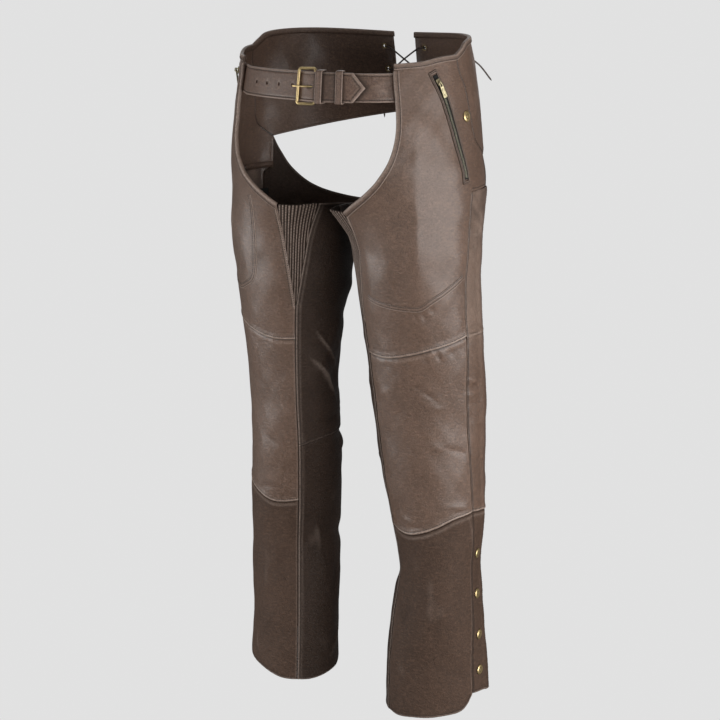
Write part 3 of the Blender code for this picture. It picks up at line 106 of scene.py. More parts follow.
# Creases in the leather, each laid from one point to another. They belong to one leg (1
# left, -1 right) or to both (0). A bow bends the crease sideways at its middle.
CREASES = (
    # side, angle, height, angle, height, half_width, rise, bow (the last three in millimetres)
    # Thigh: long soft planes, and the edge of one that runs down the front.
    (1, 37, -0.125, 33, -0.275, 10, 1.5, 0), (1, 18, -0.15, 12, -0.33, 22, -1.6, 3),
    (1, 58, -0.19, 62, -0.33, 20, -0.9, -4), (1, -14, -0.23, -18, -0.37, 16, 1, 2),
    (-1, 40, -0.13, 33, -0.29, 14, 1.2, 3), (-1, 8, -0.19, 0, -0.35, 20, -1.3, -3),
    (-1, -18, -0.24, -22, -0.38, 14, 1, 0), (0, 84, -0.165, 96, -0.205, 9, -1.2, 0),
    (0, 99, -0.168, 108, -0.23, 8, 1, 0),
    # Hip: slack beside the pocket zip and under the belt.
    (1, 21, -0.03, 22, -0.14, 20, -2.6, 0), (1, 39, -0.05, 38, -0.13, 10, 1.6, 0),
    (1, 30, 0.03, 31, -0.03, 10, -0.8, 2),
    # The side strip is rubbed and rippled at its top.
    (1, 82, -0.198, 101, -0.206, 4.5, -1.5, 1), (1, 84, -0.212, 104, -0.221, 4.5, 1.4, -1),
    (1, 82, -0.23, 99, -0.237, 5.5, -1.2, 1),
    # Puckers under the pocket seam.
    (1, 34, -0.328, 38, -0.338, 3.6, -1.4, 0), (1, 42, -0.317, 46, -0.327, 3.6, -1.2, 0),
    (1, 27, -0.331, 30, -0.341, 3.6, -1, 0), (1, 49, -0.045, 60, -0.125, 9, 0.8, 2),
    (-1, 36, 0.015, 33, -0.08, 12, 0.9, -2), (0, 96, 0.02, 104, -0.07, 14, 1.1, 3),
    # Puckers under the seam above the knee.
    (1, 46, -0.387, 49, -0.404, 4, -1.5, 0), (1, 50.5, -0.386, 53.5, -0.402, 3.8, 1, 0),
    (1, 30.5, -0.393, 35, -0.408, 4.5, -1.2, 0), (1, 60.5, -0.384, 64, -0.398, 4, -1.2, 0),
    (1, 7, -0.401, 12, -0.418, 5, -1, 0), (1, -12, -0.408, -8, -0.422, 5, -0.9, 0),
    (1, 71, -0.378, 74, -0.394, 4.5, -1, 0), (-1, 20, -0.398, 15, -0.414, 5, -0.5, 0),
    (-1, -6, -0.407, -12, -0.424, 5, -0.5, 0), (-1, 44, -0.389, 40, -0.404, 4.5, -0.6, 0),
    # Knee: short wrinkles where it bends.
    (1, 22, -0.451, 44, -0.469, 5, -1.3, 2), (1, 8, -0.445, 29, -0.446, 6, -1, 0),
    (1, 33, -0.476, 52, -0.481, 6, 1, -1.5), (1, -16, -0.489, 6, -0.497, 8, -0.9, 2),
    (1, 24, -0.54, 52, -0.549, 9, 0.9, 2), (1, 50, -0.545, 80, -0.56, 6.5, -1.4, 1),
    (1, -30, -0.47, -12, -0.452, 8, 1.1, 0), (-1, -16, -0.459, -34, -0.468, 6.5, -0.7, 1),
    (-1, -22, -0.52, -37, -0.529, 7, 1, 0), (-1, 4, -0.572, -14, -0.588, 9, -1, 2),
    (-1, 30, -0.48, 4, -0.487, 10, -0.6, -2), (-1, 48, -0.53, 22, -0.541, 11, 0.6, 2),
    # Side strip: it ripples over the knee.
    (0, 80, -0.44, 100, -0.445, 5.5, 1.5, 1), (0, 84, -0.452, 104, -0.456, 5, -1.4, 1),
    (0, 82, -0.464, 102, -0.466, 5.5, 1.4, -1), (0, 80, -0.479, 98, -0.4815, 7, -1.1, 1),
    (0, 84, -0.511, 106, -0.5165, 7.5, 1, 1), (0, 80, -0.559, 103, -0.566, 6, 1.3, -1),
    (0, 86, -0.33, 104, -0.342, 8, 0.9, 1), (0, 88, -0.624, 110, -0.633, 7, -1, 0),
    # Above and below the seam at the shin.
    (1, 48, -0.64, 77, -0.646, 6.5, 1.5, 1), (1, -16, -0.664, 4, -0.672, 6, 1.1, 0),
    (1, -4, -0.6765, 15, -0.6775, 4.5, -0.9, 0), (1, -9, -0.699, 27, -0.683, 4.5, 1.4, -1),
    (1, 34, -0.682, 60, -0.67, 4.5, 0.8, 0), (1, 73, -0.654, 79, -0.712, 6.5, 1.8, 1),
    (1, -18, -0.64, -33, -0.69, 8, -1.5, 0), (-1, 10, -0.6975, -20, -0.702, 4.5, 1.2, 1),
    (-1, 12, -0.668, -12, -0.664, 6, -1, 0), (-1, -22, -0.664, -36, -0.676, 6, 1, 0),
    # Shin: long slack folds, and short ones pressed by the snaps.
    (1, 22, -0.72, 14, -0.9, 15, 1.3, 4), (1, 50, -0.73, 57, -0.86, 13, -1.2, -3),
    (1, -10, -0.76, -22, -0.9, 14, -1.2, 3), (-1, 14, -0.73, 6, -0.88, 15, 1.2, -4),
    (-1, -14, -0.76, -26, -0.9, 12, -1.2, -3), (0, 68, -0.876, 106, -0.887, 4.8, -1.1, 1),
    (0, 76, -0.885, 108, -0.897, 4.2, 0.9, 0), (0, 72, -0.894, 106, -0.908, 4.8, -1.2, -1),
    (0, 80, -0.903, 110, -0.921, 4.4, 0.9, 0), (0, 82, -0.756, 104, -0.764, 6, 0.9, 1),
    (0, 84, -0.829, 106, -0.835, 6, -0.9, 1), (1, 70, -0.96, 77, -0.977, 6, 1, 0),
    (-1, 32, -0.928, 18, -0.981, 5.5, 1.9, 2), (-1, 22, -0.93, 10, -0.975, 6, -1, 1),
    (-1, 5, -0.982, -19, -0.995, 5, 1.1, 0),
    # Inner side of the far leg, where it faces forwards.
    (-1, 308, -0.3715, 266.5, -0.46, 4.5, 4.4, 3), (-1, 306, -0.436, 268.5, -0.5125, 4.5, 4.2, -5),
    (-1, 300, -0.398, 264, -0.487, 8.5, -2.4, 0), (-1, 271, -0.411, 255, -0.432, 6, 1.6, 0),
    (-1, 288, -0.566, 260, -0.563, 6, 1.5, 2), (-1, 290, -0.55, 258, -0.544, 7, -1.8, 2),
    (-1, 314, -0.415, 290, -0.418, 7, -1.2, 0), (-1, 240, -0.93, 281, -0.982, 9, 2.2, 2),
    (-1, 252, -0.81, 266, -0.885, 11, -2, 2), (-1, 298, -0.72, 282, -0.82, 11, 1.6, -3),
    (-1, 300, -0.63, 262, -0.656, 9, -1.6, 3),
    # Inner side of the near leg, much the same but shallower.
    (1, 306, -0.38, 270, -0.448, 9, 2, -3), (1, 302, -0.45, 266, -0.52, 9, 2.2, 4),
    (1, 298, -0.413, 262, -0.49, 9, -2, 0), (1, 286, -0.57, 256, -0.56, 7, 1.4, -2),
    (1, 284, -0.82, 268, -0.92, 12, -1.8, 3), (1, 300, -0.74, 288, -0.84, 11, 1.4, 2),
    # Back of both legs: under the seat, behind the knee and at the calf.
    (0, 130, -0.205, 196, -0.232, 14, 1.8, -8), (0, 138, -0.238, 214, -0.256, 12, -2, -8),
    (0, 150, -0.275, 232, -0.284, 13, 1.6, -6), (0, 236, -0.23, 290, -0.252, 11, -1.6, -4),
    (1, 128, -0.488, 182, -0.476, 8, 2.2, 5), (1, 124, -0.512, 196, -0.508, 8, -2.6, 6),
    (1, 132, -0.536, 178, -0.528, 7, 2, 3), (1, 206, -0.504, 252, -0.518, 8, 2.2, 4),
    (1, 214, -0.528, 262, -0.546, 8, -2.2, 3), (1, 126, -0.602, 186, -0.593, 8, -2.2, -4),
    (1, 130, -0.634, 206, -0.644, 9, 1.9, -5), (1, 214, -0.608, 268, -0.63, 9, -1.9, -3),
    (-1, 126, -0.495, 188, -0.481, 8.5, 2.3, -5), (-1, 130, -0.519, 190, -0.515, 8, -2.4, 5),
    (-1, 136, -0.543, 172, -0.535, 7, 1.8, 2), (-1, 210, -0.51, 250, -0.525, 8, 2, 4),
    (-1, 212, -0.536, 258, -0.55, 7.5, -2, 3), (-1, 128, -0.596, 190, -0.599, 8.5, -2.3, -4),
    (-1, 134, -0.638, 210, -0.636, 9, 2, -5), (-1, 218, -0.614, 262, -0.624, 9, -1.8, -3),
    (0, 132, -0.702, 184, -0.724, 11, 1.6, 5), (0, 140, -0.866, 214, -0.885, 11, -1.8, 6),
    (0, 150, -0.91, 224, -0.924, 10, 1.7, 5), (0, 128, -0.942, 178, -0.952, 8, -1.4, 3),
    (0, 232, -0.69, 226, -0.81, 14, 1.5, 4), (0, 170, -0.01, 178, -0.075, 12, -1.2, 2),
    (0, 126, 0.045, 134, -0.07, 14, 1.2, 4))
# Slack that no crease explains: turns round the leg, waves up each metre, phase, rise in mm.
SWELLS = ((3, 4.2, 0.3, 0.5), (5, -6.5, 1.9, 0.34), (8, 9, 4.1, 0.24), (11, -13, 2.2, 0.16),
          (2, 17, 5, 0.2), (17, 22, 1.1, 0.09), (23, -31, 3.4, 0.06))

# Edges of the cut pieces: angle and height, from the first point to the last.
CUTOUT_EDGE = ((GUSSET_FRONT, GUSSET_TOP), (-14, -0.174), (-3.5, -0.159), (4, -0.146), (10.5, -0.132),
               (17, -0.112), (21, -0.092), (23.5, -0.068), (24, -0.045), (23, -0.02), (21.5, 0.003),
               (20, 0.032))
HIP_SEAM = ((94, -0.0685), (92.8, -0.046), (90.6, -0.0235), (87.6, 0), (82, 0.02), (79.5, 0.0425))
HIP_SEAM_LOW = ((94, -0.0685), (97.5, -0.0815), (102.5, -0.0895), (109, -0.0975), (117, -0.1065))
WAIST_FRONT = ((20, 0.032), (43.5, 0.035), (60, 0.04), (79.5, 0.0425))
WAIST_BACK = ((79.5, 0.0425), (90, 0.051), (100.5, 0.059), (122, 0.063), (160, 0.064), (210.2, 0.06))
YOKE_LOW = ((117, -0.1065), (135, -0.1), (160, -0.09), (185, -0.078), (206.3, -0.066))
SEAT_EDGE = ((117, -0.1065), (124, -0.13), (136, -0.16), (155, -0.186), (180, -0.199), (210, -0.202),
             (245, -0.196), (280, -0.187), (GUSSET_BACK, GUSSET_TOP))
SEAM_THIGH = ((INSEAM, -0.404), (-11.5, -0.4045), (16.5, -0.3955), (36, -0.388), (56.5, -0.3805),
              (STRIP_FRONT, -0.37))
SEAM_SHIN = ((INSEAM, -0.688), (-11.5, -0.692), (6.5, -0.688), (33, -0.674), (54, -0.662),
             (STRIP_FRONT, -0.656))
SEAM_KNEE_BACK = ((BACK_FRONT_EDGE, -0.569), (160, -0.574), (252, -0.576), (295, -0.579),
                  (INSEAM_BACK, -0.589))
HEM_FRONT = ((INSEAM, -1.005), (-20, -1.0045), (4, -0.9985), (35, -0.993), (60, -0.9885), (71, -0.981),
             (STRIP_FRONT, -0.964))
HEM_STRIP = ((STRIP_FRONT, -0.963), (100, -0.966), (STRIP_REAR, -0.974))
HEM_BACK = ((BACK_FRONT_EDGE, -0.972), (150, -0.984), (200, -0.992), (250, -1), (300, -1.006),
            (INSEAM_BACK, -1.005))
ZIP_LINE = ((53.5, 0.0165), (64, -0.0225), (72, -0.073), (77.5, -0.113), (79, -0.133))
ZIP_WIDTH = 15.0 * MM           # over both welts
ZIP_SLOT = 7.4 * MM             # between the welts
# Where the pocket bags are stitched through the thighs; the two legs' bags hang differently.
POCKET_BAG = {
    1: ((-22.5, -0.3130), (-4.0, -0.3205), (23.0, -0.3235), (34.5, -0.3220), (44.5, -0.3115),
        (59.0, -0.2980), (79.0, -0.2785)),
    -1: ((4.5, -0.1720), (3.0, -0.2035), (3.0, -0.2590), (6.5, -0.3055), (19.5, -0.3220),
         (34.0, -0.3290), (56.0, -0.3200), (79.0, -0.3010)),
}
SNAP_HEIGHTS = (-0.7315, -0.7995, -0.8675, -0.9280)
LEG_SNAP_ANGLE = 94.5
HIP_SNAP = (86.5, -0.0445)
SNAP_SCALE = 1.14               # of the turned cap, beside the solid's
LEG_ZIP_ANGLE, LEG_ZIP_WIDTH = 102.5, 29.0      # degrees
TOOTH_WIDTH, TOOTH_HEIGHT = 2.3 * MM, 1.2 * MM
TOOTH_ASIDE = 0.75 * MM         # from the zip's middle to a tooth's
GUSSET_RIBS = 12
RIB_RISE = 1.3 * MM

# The belt, by distance round the body from its front middle (positive to the wearer's left).
BELT_WIDTH = 42.0 * MM
LEFT_STRAP_WIDTH = BELT_WIDTH - 1.6 * MM
STRAP = 2.6 * MM                # strap leather
HOLE_DIAMETER = 4.0 * MM
BUCKLE_ROD = 4.2 * MM
KEEPER_LEATHER = 2.0 * MM
FAR_ROD = 0.003                 # the buckle rod that the prong rests on
HINGE = 0.0275                  # the rod that the left strap folds round
FAR_ROD_LIFT = 3.3 * MM
HINGE_LIFT = -2.9 * MM
BUCKLE_OUTER_HEIGHT = 54.0 * MM
PRONG = 2.6 * MM
PRONG_TIP = -0.0055
KEEPERS = (
    # middle, inner face in, inner face out
    (0.0376, -8.3 * MM, 5.8 * MM), (0.068, -6.3 * MM, 4.1 * MM))
STRAP_TIP = 0.1055
STRAP_SHOULDER = 0.0880
TIP_BORDER = 5.4                # from the strap's edge to the stitches round its point, in millimetres
STRAP_HOLES = (-0.0870, -0.0610, -0.0350, -0.0090)
PRONG_SLOT = (0.0233, 9.8 * MM, 4.6 * MM)      # middle, length, height
RIGHT_STRAP_PATH = (
    # distance, lift of the strap's middle
    (-0.172, -0.0061), (-0.16, -0.0061), (-0.148, -0.0061), (-0.14, -0.0056), (-0.129, -0.0034),
    (-0.118, -0.001), (-0.106, 0), (-0.07, 0), (-0.03, 0), (-0.01, -0.0002), (0.003, -0.0006),
    (0.011, 0.0008), (0.018, 0.0029), (0.027, 0.0041), (0.036, 0.0038), (0.048, 0.0028), (0.062, 0.0023),
    (0.076, 0.0021), (0.088, 0.002), (0.1055, 0.002))
LEFT_STRAP_PATH = ((0.172, -0.0061), (0.16, -0.0061), (0.148, -0.0061), (0.14, -0.0056), (0.129, -0.0036),
                   (0.118, -0.0018), (0.106, -0.0013), (0.085, -0.0013), (0.06, -0.0013), (0.046, -0.0013),
                   (0.037, -0.0011))
FOLD_END = 0.0850

# The lacing at the back, and the pocket zip's slider and pull tab.
LACE_DIAMETER = 2.6 * MM
EYELET_ANGLE = 203.6
EYELET_HEIGHTS = (0.0380, 0.0020, -0.0340)
EYELET_HOLE = 3.3 * MM          # radius of the hole in the yoke
SLIDER_AT = 0.075               # share of the zip's length
SLIDER_LENGTH = 11.0 * MM
SLIDER_WIDTH = 6.2 * MM
SLIDER_LIFT = (1.8 * MM, 4.4 * MM)
PIVOT_LIFT = 7.0 * MM
PIN = 1.5 * MM
BRIDGE_WIDTH = 2.2 * MM
TAB_LENGTH = 24.0 * MM
TAB_WIDTH = 7.0 * MM
TAB_THICKNESS = 1.2 * MM

# The row counts of the long edges that are made of several stretches, as in the solids.
BELOW_TIP, ALONG_GUSSET, ALONG_LOBE, ALONG_HIP, BACK_BELOW_TIP = 3, 5, 6, 10, 9
FINE = 20                       # samples for each of those rows


# ---- settings a user would change
def colour_setting(name, description, default):
    return FloatVectorProperty(name=name, description=description, default=default,
                               subtype="COLOR", min=0, max=1)


def length_setting(name, description, default, low, high):
    return FloatProperty(name=name, description=description, default=default, unit="LENGTH",
                         min=low, max=high)


def power_setting(name, description, default):
    return FloatProperty(name=name, description=description, default=default, unit="POWER", min=0)


class ChapsLeather(bpy.types.PropertyGroup):
    """The leather's colours, grain and gloss."""
    front: colour_setting("Front", "Colour of the thigh, knee and yoke leather", COLOURS["front_leather"])
    shin: colour_setting("Shin", "Colour of the shin and flap leather", COLOURS["shin_leather"])
    back: colour_setting("Back", "Colour of the back panels", COLOURS["back_leather"])
    stretch: colour_setting("Stretch", "Colour of the ribbed gussets", COLOURS["stretch_leather"])
    binding: colour_setting("Binding", "Colour of the folded edges and welts", COLOURS["binding_leather"])
    belt: colour_setting("Belt", "Colour of the belt leather", COLOURS["belt_leather"])
    # The worn colour also paints the highlights on crease and rib crests and on the side strip.
    worn: colour_setting("Worn", "Colour that rubbed edges and ridges turn to", (0.44, 0.34, 0.285))
    tone_and_shade: FloatVectorProperty(name="Dye", description="What the dye makes of each leather's colour",
                             default=(0.84, 0.69, 0.60), min=0, max=2)
    grain: length_setting("Grain", "Width of one cell of the leather's grain", 1.3 * MM, 0.0005, 0.005)
    cell: length_setting("Mesh cell", "Size of a face in the middle of a front panel", 2.5 * MM, 0.001, 0.01)


class ChapsSewing(bpy.types.PropertyGroup):
    """The stitches."""
    pitch: length_setting("Pitch", "From one stitch to the next", 3.7 * MM, 0.001, 0.01)
    length: length_setting("Stitch", "Length of thread that shows in one stitch", 2.9 * MM, 0.0005, 0.009)
    thread: FloatProperty(name="Thread", description="Thickness of the thread",
                          default=1.2 * MM, unit="LENGTH", min=0.0002, max=0.002)
    colour: colour_setting("Thread colour", "Colour of the thread", (0.030, 0.021, 0.016))


class ChapsMetal(bpy.types.PropertyGroup):
    """Brass and zips."""
    brass: colour_setting("Brass", "Colour of the polished brass", COLOURS["brass"])
    slider: colour_setting("Slider", "Colour of the zip sliders and pull tabs", (0.40, 0.35, 0.22))
    tape: colour_setting("Zip tape", "Colour of the woven zip tape", COLOURS["zip_tape"])
    lace: colour_setting("Lace", "Colour of the back lace", COLOURS["lace"])
    tooth: length_setting("Tooth pitch", "From one zip tooth to the next", 2.3 * MM, 0.001, 0.005)
    turned: IntProperty(name="Turned sides", description="Faces round a snap or an eyelet",
                        default=32, min=12, max=96)


class ChapsStudio(bpy.types.PropertyGroup):
    """Camera, lights and backdrop."""
    azimuth: FloatProperty(name="Azimuth", description="Camera direction from straight in front",
                           default=math.radians(34.4), subtype="ANGLE")
    floor: FloatProperty(name="Floor", description="Height of the floor under the belt",
                         default=-1.10, unit="LENGTH")
    glow: FloatProperty(name="Glow", description="Light that the backdrop itself gives off",
                        default=0.755, min=0)
    air: FloatProperty(name="Air", description="Even light from all round", default=0.09, min=0)
    key: power_setting("Key", "Power of the large light beside the camera", 88.0)
    fill: power_setting("Fill", "Power of the light across from the key", 50.0)
    rear: power_setting("Rear", "Power of the light behind the legs", 16.0)
    top: power_setting("Top", "Power of the light overhead", 18.0)


def settings(name):
    return getattr(bpy.context.scene, "chaps_" + name)


# ---- numbers and lines of points
def ease(x):
    x = np.clip(x, 0.0, 1.0)
    return x * x * (3.0 - 2.0 * x)


def fall(distance, near, far):
    """1 up to the near distance, 0 past the far one."""
    return 1.0 - ease((distance - near) / (far - near))


def bump(distance, middle, width):
    return np.exp(-((distance - middle) / width) ** 2)


def unit(vectors):
    return vectors / np.linalg.norm(vectors, axis=-1, keepdims=True)


def mirror(side):
    return np.array([side, 1.0, 1.0])


def summed(steps):
    """Running total of the steps, from 0."""
    return np.concatenate([[0.0], np.cumsum(steps)])


def travelled(points):
    """Length of a line of points up to each one."""
    return summed(np.linalg.norm(np.diff(points, axis=0), axis=1))


def read_off(values, along, stops):
    """The columns of values at stops, where along says at which stop each row lies."""
    return np.stack([np.interp(stops, along, column) for column in np.transpose(values)], -1)


def at(edge, shares):
    """Points at shares of an edge that is given by even samples."""
    return read_off(edge, np.linspace(0, 1, len(edge)), shares)


def loop_direction(loop):
    """Unit direction at each point of a closed loop."""
    return unit(np.roll(loop, -1, axis=0) - np.roll(loop, 1, axis=0))


# ---- the worn surface
def column(table, height):
    """Smooth values of every column of a section table at the given heights."""
    rows = np.array(table)
    z = rows[:, 0]
    height = np.clip(np.asarray(height, float), z[0], z[-1])
    low = np.clip(np.searchsorted(z, height) - 1, 0, len(z) - 2)
    span = z[low + 1] - z[low]
    t = ((height - z[low]) / span)[..., None]
    slope = np.empty_like(rows[:, 1:])
    slope[1:-1] = (rows[2:, 1:] - rows[:-2, 1:]) / (z[2:] - z[:-2])[:, None]
    slope[0] = (rows[1, 1:] - rows[0, 1:]) / (z[1] - z[0])
    slope[-1] = (rows[-1, 1:] - rows[-2, 1:]) / (z[-1] - z[-2])
    span = span[..., None]
    return ((2 * t**3 - 3 * t**2 + 1) * rows[low, 1:] + (t**3 - 2 * t**2 + t) * span * slope[low]
            + (3 * t**2 - 2 * t**3) * rows[low + 1, 1:] + (t**3 - t**2) * span * slope[low + 1])


def round_leg(turn):
    """Metres of a leg's girth for a turn in degrees, by the shorter way."""
    return np.radians((turn + 180.0) % 360.0 - 180.0) * ROUND


def fold_rise(angle, height):
    """How far the largest folds move the leather out at each point."""
    rise = np.zeros_like(angle)
    for middle, level, tilt, half_length, half_width, size in FOLDS:
        across, up = round_leg(angle - middle), height - level
        cosine, sine = math.cos(math.radians(tilt)), math.sin(math.radians(tilt))
        along, aside = across * cosine + up * sine, -across * sine + up * cosine
        rise += size * np.exp(-(along / half_length) ** 2 - (aside / half_width) ** 2)
    return rise


def crease(across, up, run, half_width, size, bow=0.0):
    """Rise that a crease gives at metres across and up from its middle; run is from end to end."""
    half = np.hypot(*run) / 2
    run = run / (2 * half)
    along = (across * run[0] + up * run[1]) / half
    aside = (up * run[0] - across * run[1]) / MM - bow * (1.0 - along**2)
    return size * np.exp(-1.3 * along**2) / (1.0 + (aside / half_width) ** 2) ** 2


def crease_rise(angle, height, side):
    """How far the creases and the slack of one leg move its leather out."""
    rise = np.zeros_like(angle)
    for leg, angle_1, height_1, angle_2, height_2, half_width, size, bow in CREASES:
        if leg in (0, side):
            run = np.array([math.radians(angle_2 - angle_1) * ROUND, height_2 - height_1])
            rise += crease(round_leg(angle - (angle_1 + angle_2) / 2),
                           height - (height_1 + height_2) / 2, run, half_width, size * MM, bow)
    for turns, waves, phase, size in SWELLS:
        rise += size * MM * np.sin(turns * np.radians(angle) + 2 * math.pi * waves * height
                                   + phase + 1.3 * side)
    return rise


def worn(angle, height, side):
    """Points of the base layer's outer face, for a left leg with the creases of the given side."""
    angle, height = np.broadcast_arrays(np.asarray(angle, float), np.asarray(height, float))
    axis_x, axis_y, half_long, half_short = np.moveaxis(column(LEG_SECTIONS, height), -1, 0)
    half_width, half_depth = np.moveaxis(column(HIP_SECTIONS, height), -1, 0)
    turn = np.radians(angle)
    ray_x, ray_y = np.sin(turn), -np.cos(turn)
    long_x, long_y = math.cos(math.radians(LONG_AXIS)), math.sin(math.radians(LONG_AXIS))
    along, aside = ray_x * long_x + ray_y * long_y, ray_y * long_x - ray_x * long_y
    leg = 1.0 / np.sqrt((along / half_long) ** 2 + (aside / half_short) ** 2)
    a = (ray_x / half_width) ** 2 + (ray_y / half_depth) ** 2
    b = 2.0 * (axis_x * ray_x / half_width**2 + axis_y * ray_y / half_depth**2)
    c = (axis_x / half_width) ** 2 + (axis_y / half_depth) ** 2 - 1.0
    hip = (-b + np.sqrt(np.maximum(b * b - 4.0 * a * c, 0.0))) / (2.0 * a)
    middle = (axis_x - MIDDLE_CLEAR) / np.maximum(-ray_x, 1e-3)
    hip = (hip**-HIP_SHARPNESS + middle**-HIP_SHARPNESS) ** (-1.0 / HIP_SHARPNESS)
    share = ease((height - LEG_BLEND[0]) / (LEG_BLEND[1] - LEG_BLEND[0]))
    radius = (1.0 - share) * leg + share * hip + fold_rise(angle, height)
    if side:
        radius = radius + crease_rise(angle, height, side)
    return np.stack([axis_x + radius * ray_x, axis_y + radius * ray_y, height], -1)


def outward(angle, height, side):
    angle, height = np.asarray(angle, float), np.asarray(height, float)
    d_angle = worn(angle + TURN_STEP, height, side) - worn(angle - TURN_STEP, height, side)
    d_height = worn(angle, height + RISE_STEP, side) - worn(angle, height - RISE_STEP, side)
    return unit(np.cross(d_angle, d_height))


def place(cells, lift, side):
    """Points over (angle, height) cells, moved out by lift, on the leg that side names."""
    angle, height = np.moveaxis(np.asarray(cells, float), -1, 0)
    lift = np.broadcast_to(lift, angle.shape)[..., None]
    return (worn(angle, height, side) + outward(angle, height, side) * lift) * mirror(side)


def metres_per_degree(angle, height):
    step = worn(np.asarray(angle) + 0.5, height, 0) - worn(np.asarray(angle) - 0.5, height, 0)
    return np.linalg.norm(step, axis=-1)


# ---- curves and patches on the surface
def smooth_line(knots, steps=16):
    """Points along a smooth curve through the knots."""
    knots = np.array(knots, float)
    if len(knots) < 3:
        return np.linspace(knots[0], knots[-1], steps + 1)
    ends = np.vstack([2 * knots[0] - knots[1], knots, 2 * knots[-1] - knots[-2]])
    fine = []
    for p0, p1, p2, p3 in zip(ends, ends[1:], ends[2:], ends[3:]):
        for t in np.linspace(0, 1, steps, endpoint=False):
            fine.append(0.5 * (2 * p1 + (p2 - p0) * t + (2 * p0 - 5 * p1 + 4 * p2 - p3) * t**2
                               + (3 * p1 - 3 * p2 + p3 - p0) * t**3))
    return np.vstack([fine, knots[-1]])


def curve(points, count):
    """count + 1 points at even steps along a smooth curve through (angle, height) points."""
    knots = smooth_line(points)
    scale = float(np.mean(metres_per_degree(*knots.T)))
    along = summed(np.hypot(np.diff(knots[:, 0]) * scale, np.diff(knots[:, 1])))
    return read_off(knots, along, np.linspace(0.0, along[-1], count + 1))


def joined(*curves):
    """Curves end to end, each sharing its first point with the one before."""
    return np.vstack([curves[0]] + [c[1:] for c in curves[1:]])


def by_angle(points, first, last, count=400):
    """The edge's points at even angles, so that pieces above and below share them."""
    fine = curve(points, 200)
    angles = np.linspace(first, last, count + 1)
    return np.column_stack([angles, np.interp(angles, fine[:, 0], fine[:, 1])])


def upright(angle, low, high, count=400):
    return np.column_stack([np.full(count + 1, float(angle)), np.linspace(low, high, count + 1)])


def strip_front(heights):
    """Front edge of the side strip: it leans back a little near its top."""
    heights = np.asarray(heights, float)
    return np.column_stack([STRIP_FRONT + 5.0 * ease((heights + 0.31) / 0.1575), heights])


def strip_lift(angle):
    """The strip starts level with the front panels and rides up over the back panels' edge."""
    return (LEATHER + CLEAR + 0.3 * MM) * ease((np.asarray(angle) - 100.0) / 8.5)


def measured(edge):
    """Length of an edge in metres."""
    scale = metres_per_degree(edge[:, 0], edge[:, 1])[:-1]
    return float(np.sum(np.hypot(np.diff(edge[:, 0]) * scale, np.diff(edge[:, 1]))))


def spread(length, cell, breaks=(), fine=0.9 * MM, reach=13.0 * MM):
    """Shares of a side: even cells, finer ones within reach of its ends, and a row on each break."""
    at_point = np.linspace(0.0, length, 2001)
    size = fine + (cell - fine) * ease(np.minimum(at_point, length - at_point) / reach)
    count = summed(np.diff(at_point) * 2.0 / (size[1:] + size[:-1]))
    shares = np.interp(np.linspace(0, count[-1], max(int(round(count[-1])), 6) + 1), count, at_point)
    shares /= length
    for stop in breaks:
        shares[np.argmin(abs(shares - stop))] = stop
    return shares


def patch(low, high, first, last, across, up):
    """Grid of (angle, height) cells filled in from a four-sided patch's edges.

    low and high run with the angle, first and last run upwards; across and up are the shares of
    those edges at which the columns and the rows lie.
    """
    u, v = across[None, :, None], up[:, None, None]
    low, high, first, last = at(low, across), at(high, across), at(first, up), at(last, up)
    sides = (1 - v) * low[None] + v * high[None] + (1 - u) * first[:, None] + u * last[:, None]
    corners = ((1 - u) * (1 - v) * low[0] + u * (1 - v) * low[-1]
               + (1 - u) * v * high[0] + u * v * high[-1])
    return sides - corners


# ---- seams
def seam_paths():
    """Every seam and edge by name, as (angle, height) points."""
    strip_foot, strip_corner = strip_front([STRIP_TOP])[0], (STRIP_REAR, STRIP_TOP)
    split, knee = SEAM_SHIN[-1][1], SEAM_THIGH[-1][1]
    paths = {
        "inseam": upright(INSEAM, -1.005, GUSSET_TIP, 80),
        "inseam_back": upright(INSEAM_BACK, -1.005, GUSSET_TIP, 80),
        "gusset_front": np.array([(INSEAM, GUSSET_TIP), CUTOUT_EDGE[0]]),
        "gusset_back": np.array([(INSEAM_BACK, GUSSET_TIP), (GUSSET_BACK, GUSSET_TOP)]),
        "strip_front": strip_front(np.linspace(HEM_STRIP[0][1], STRIP_TOP, 90)),
        "strip_rear": upright(STRIP_REAR, HEM_STRIP[-1][1], STRIP_TOP, 60),
        "strip_top": np.array([strip_foot, strip_corner]),
        "strip_seam": np.array([(STRIP_FRONT, split), (STRIP_REAR, split - STRIP_SEAM_DROP)]),
        "strip_knee": np.array([(STRIP_FRONT, knee), (STRIP_REAR, knee)]),
        "hem_strip": by_angle(HEM_STRIP, STRIP_FRONT, STRIP_REAR, 20),
        "lobe_rear": np.array([strip_corner, HIP_SEAM_LOW[-1]]),
        "hip_seam": joined(curve(HIP_SEAM_LOW, 16)[::-1], curve(HIP_SEAM, 40)),
        "yoke_low": curve(YOKE_LOW, 40),
        "lacing": np.array([YOKE_LOW[-1], WAIST_BACK[-1]]),
        "seat": curve(SEAT_EDGE, 70),
    }
    for name, edge in (("thigh_low", SEAM_THIGH), ("shin_top", SEAM_SHIN), ("hem_front", HEM_FRONT)):
        paths[name] = by_angle(edge, INSEAM, STRIP_FRONT, 60)
    for name, edge in (("knee_back", SEAM_KNEE_BACK), ("hem_back", HEM_BACK)):
        paths[name] = by_angle(edge, BACK_FRONT_EDGE, INSEAM_BACK, 80)
    return paths


def heading(path):
    """Steps along an (angle, height) path in metres, and the metres for each degree there."""
    scale = metres_per_degree(*path.T)
    return np.gradient(path, axis=0) * np.column_stack([scale, np.ones(len(path))]), scale


def moved_aside(path, distance):
    """The path moved to its left-hand side along the surface."""
    run, scale = heading(path)
    run = unit(run)
    return path + distance * np.column_stack([-run[:, 1] / scale, run[:, 0]])


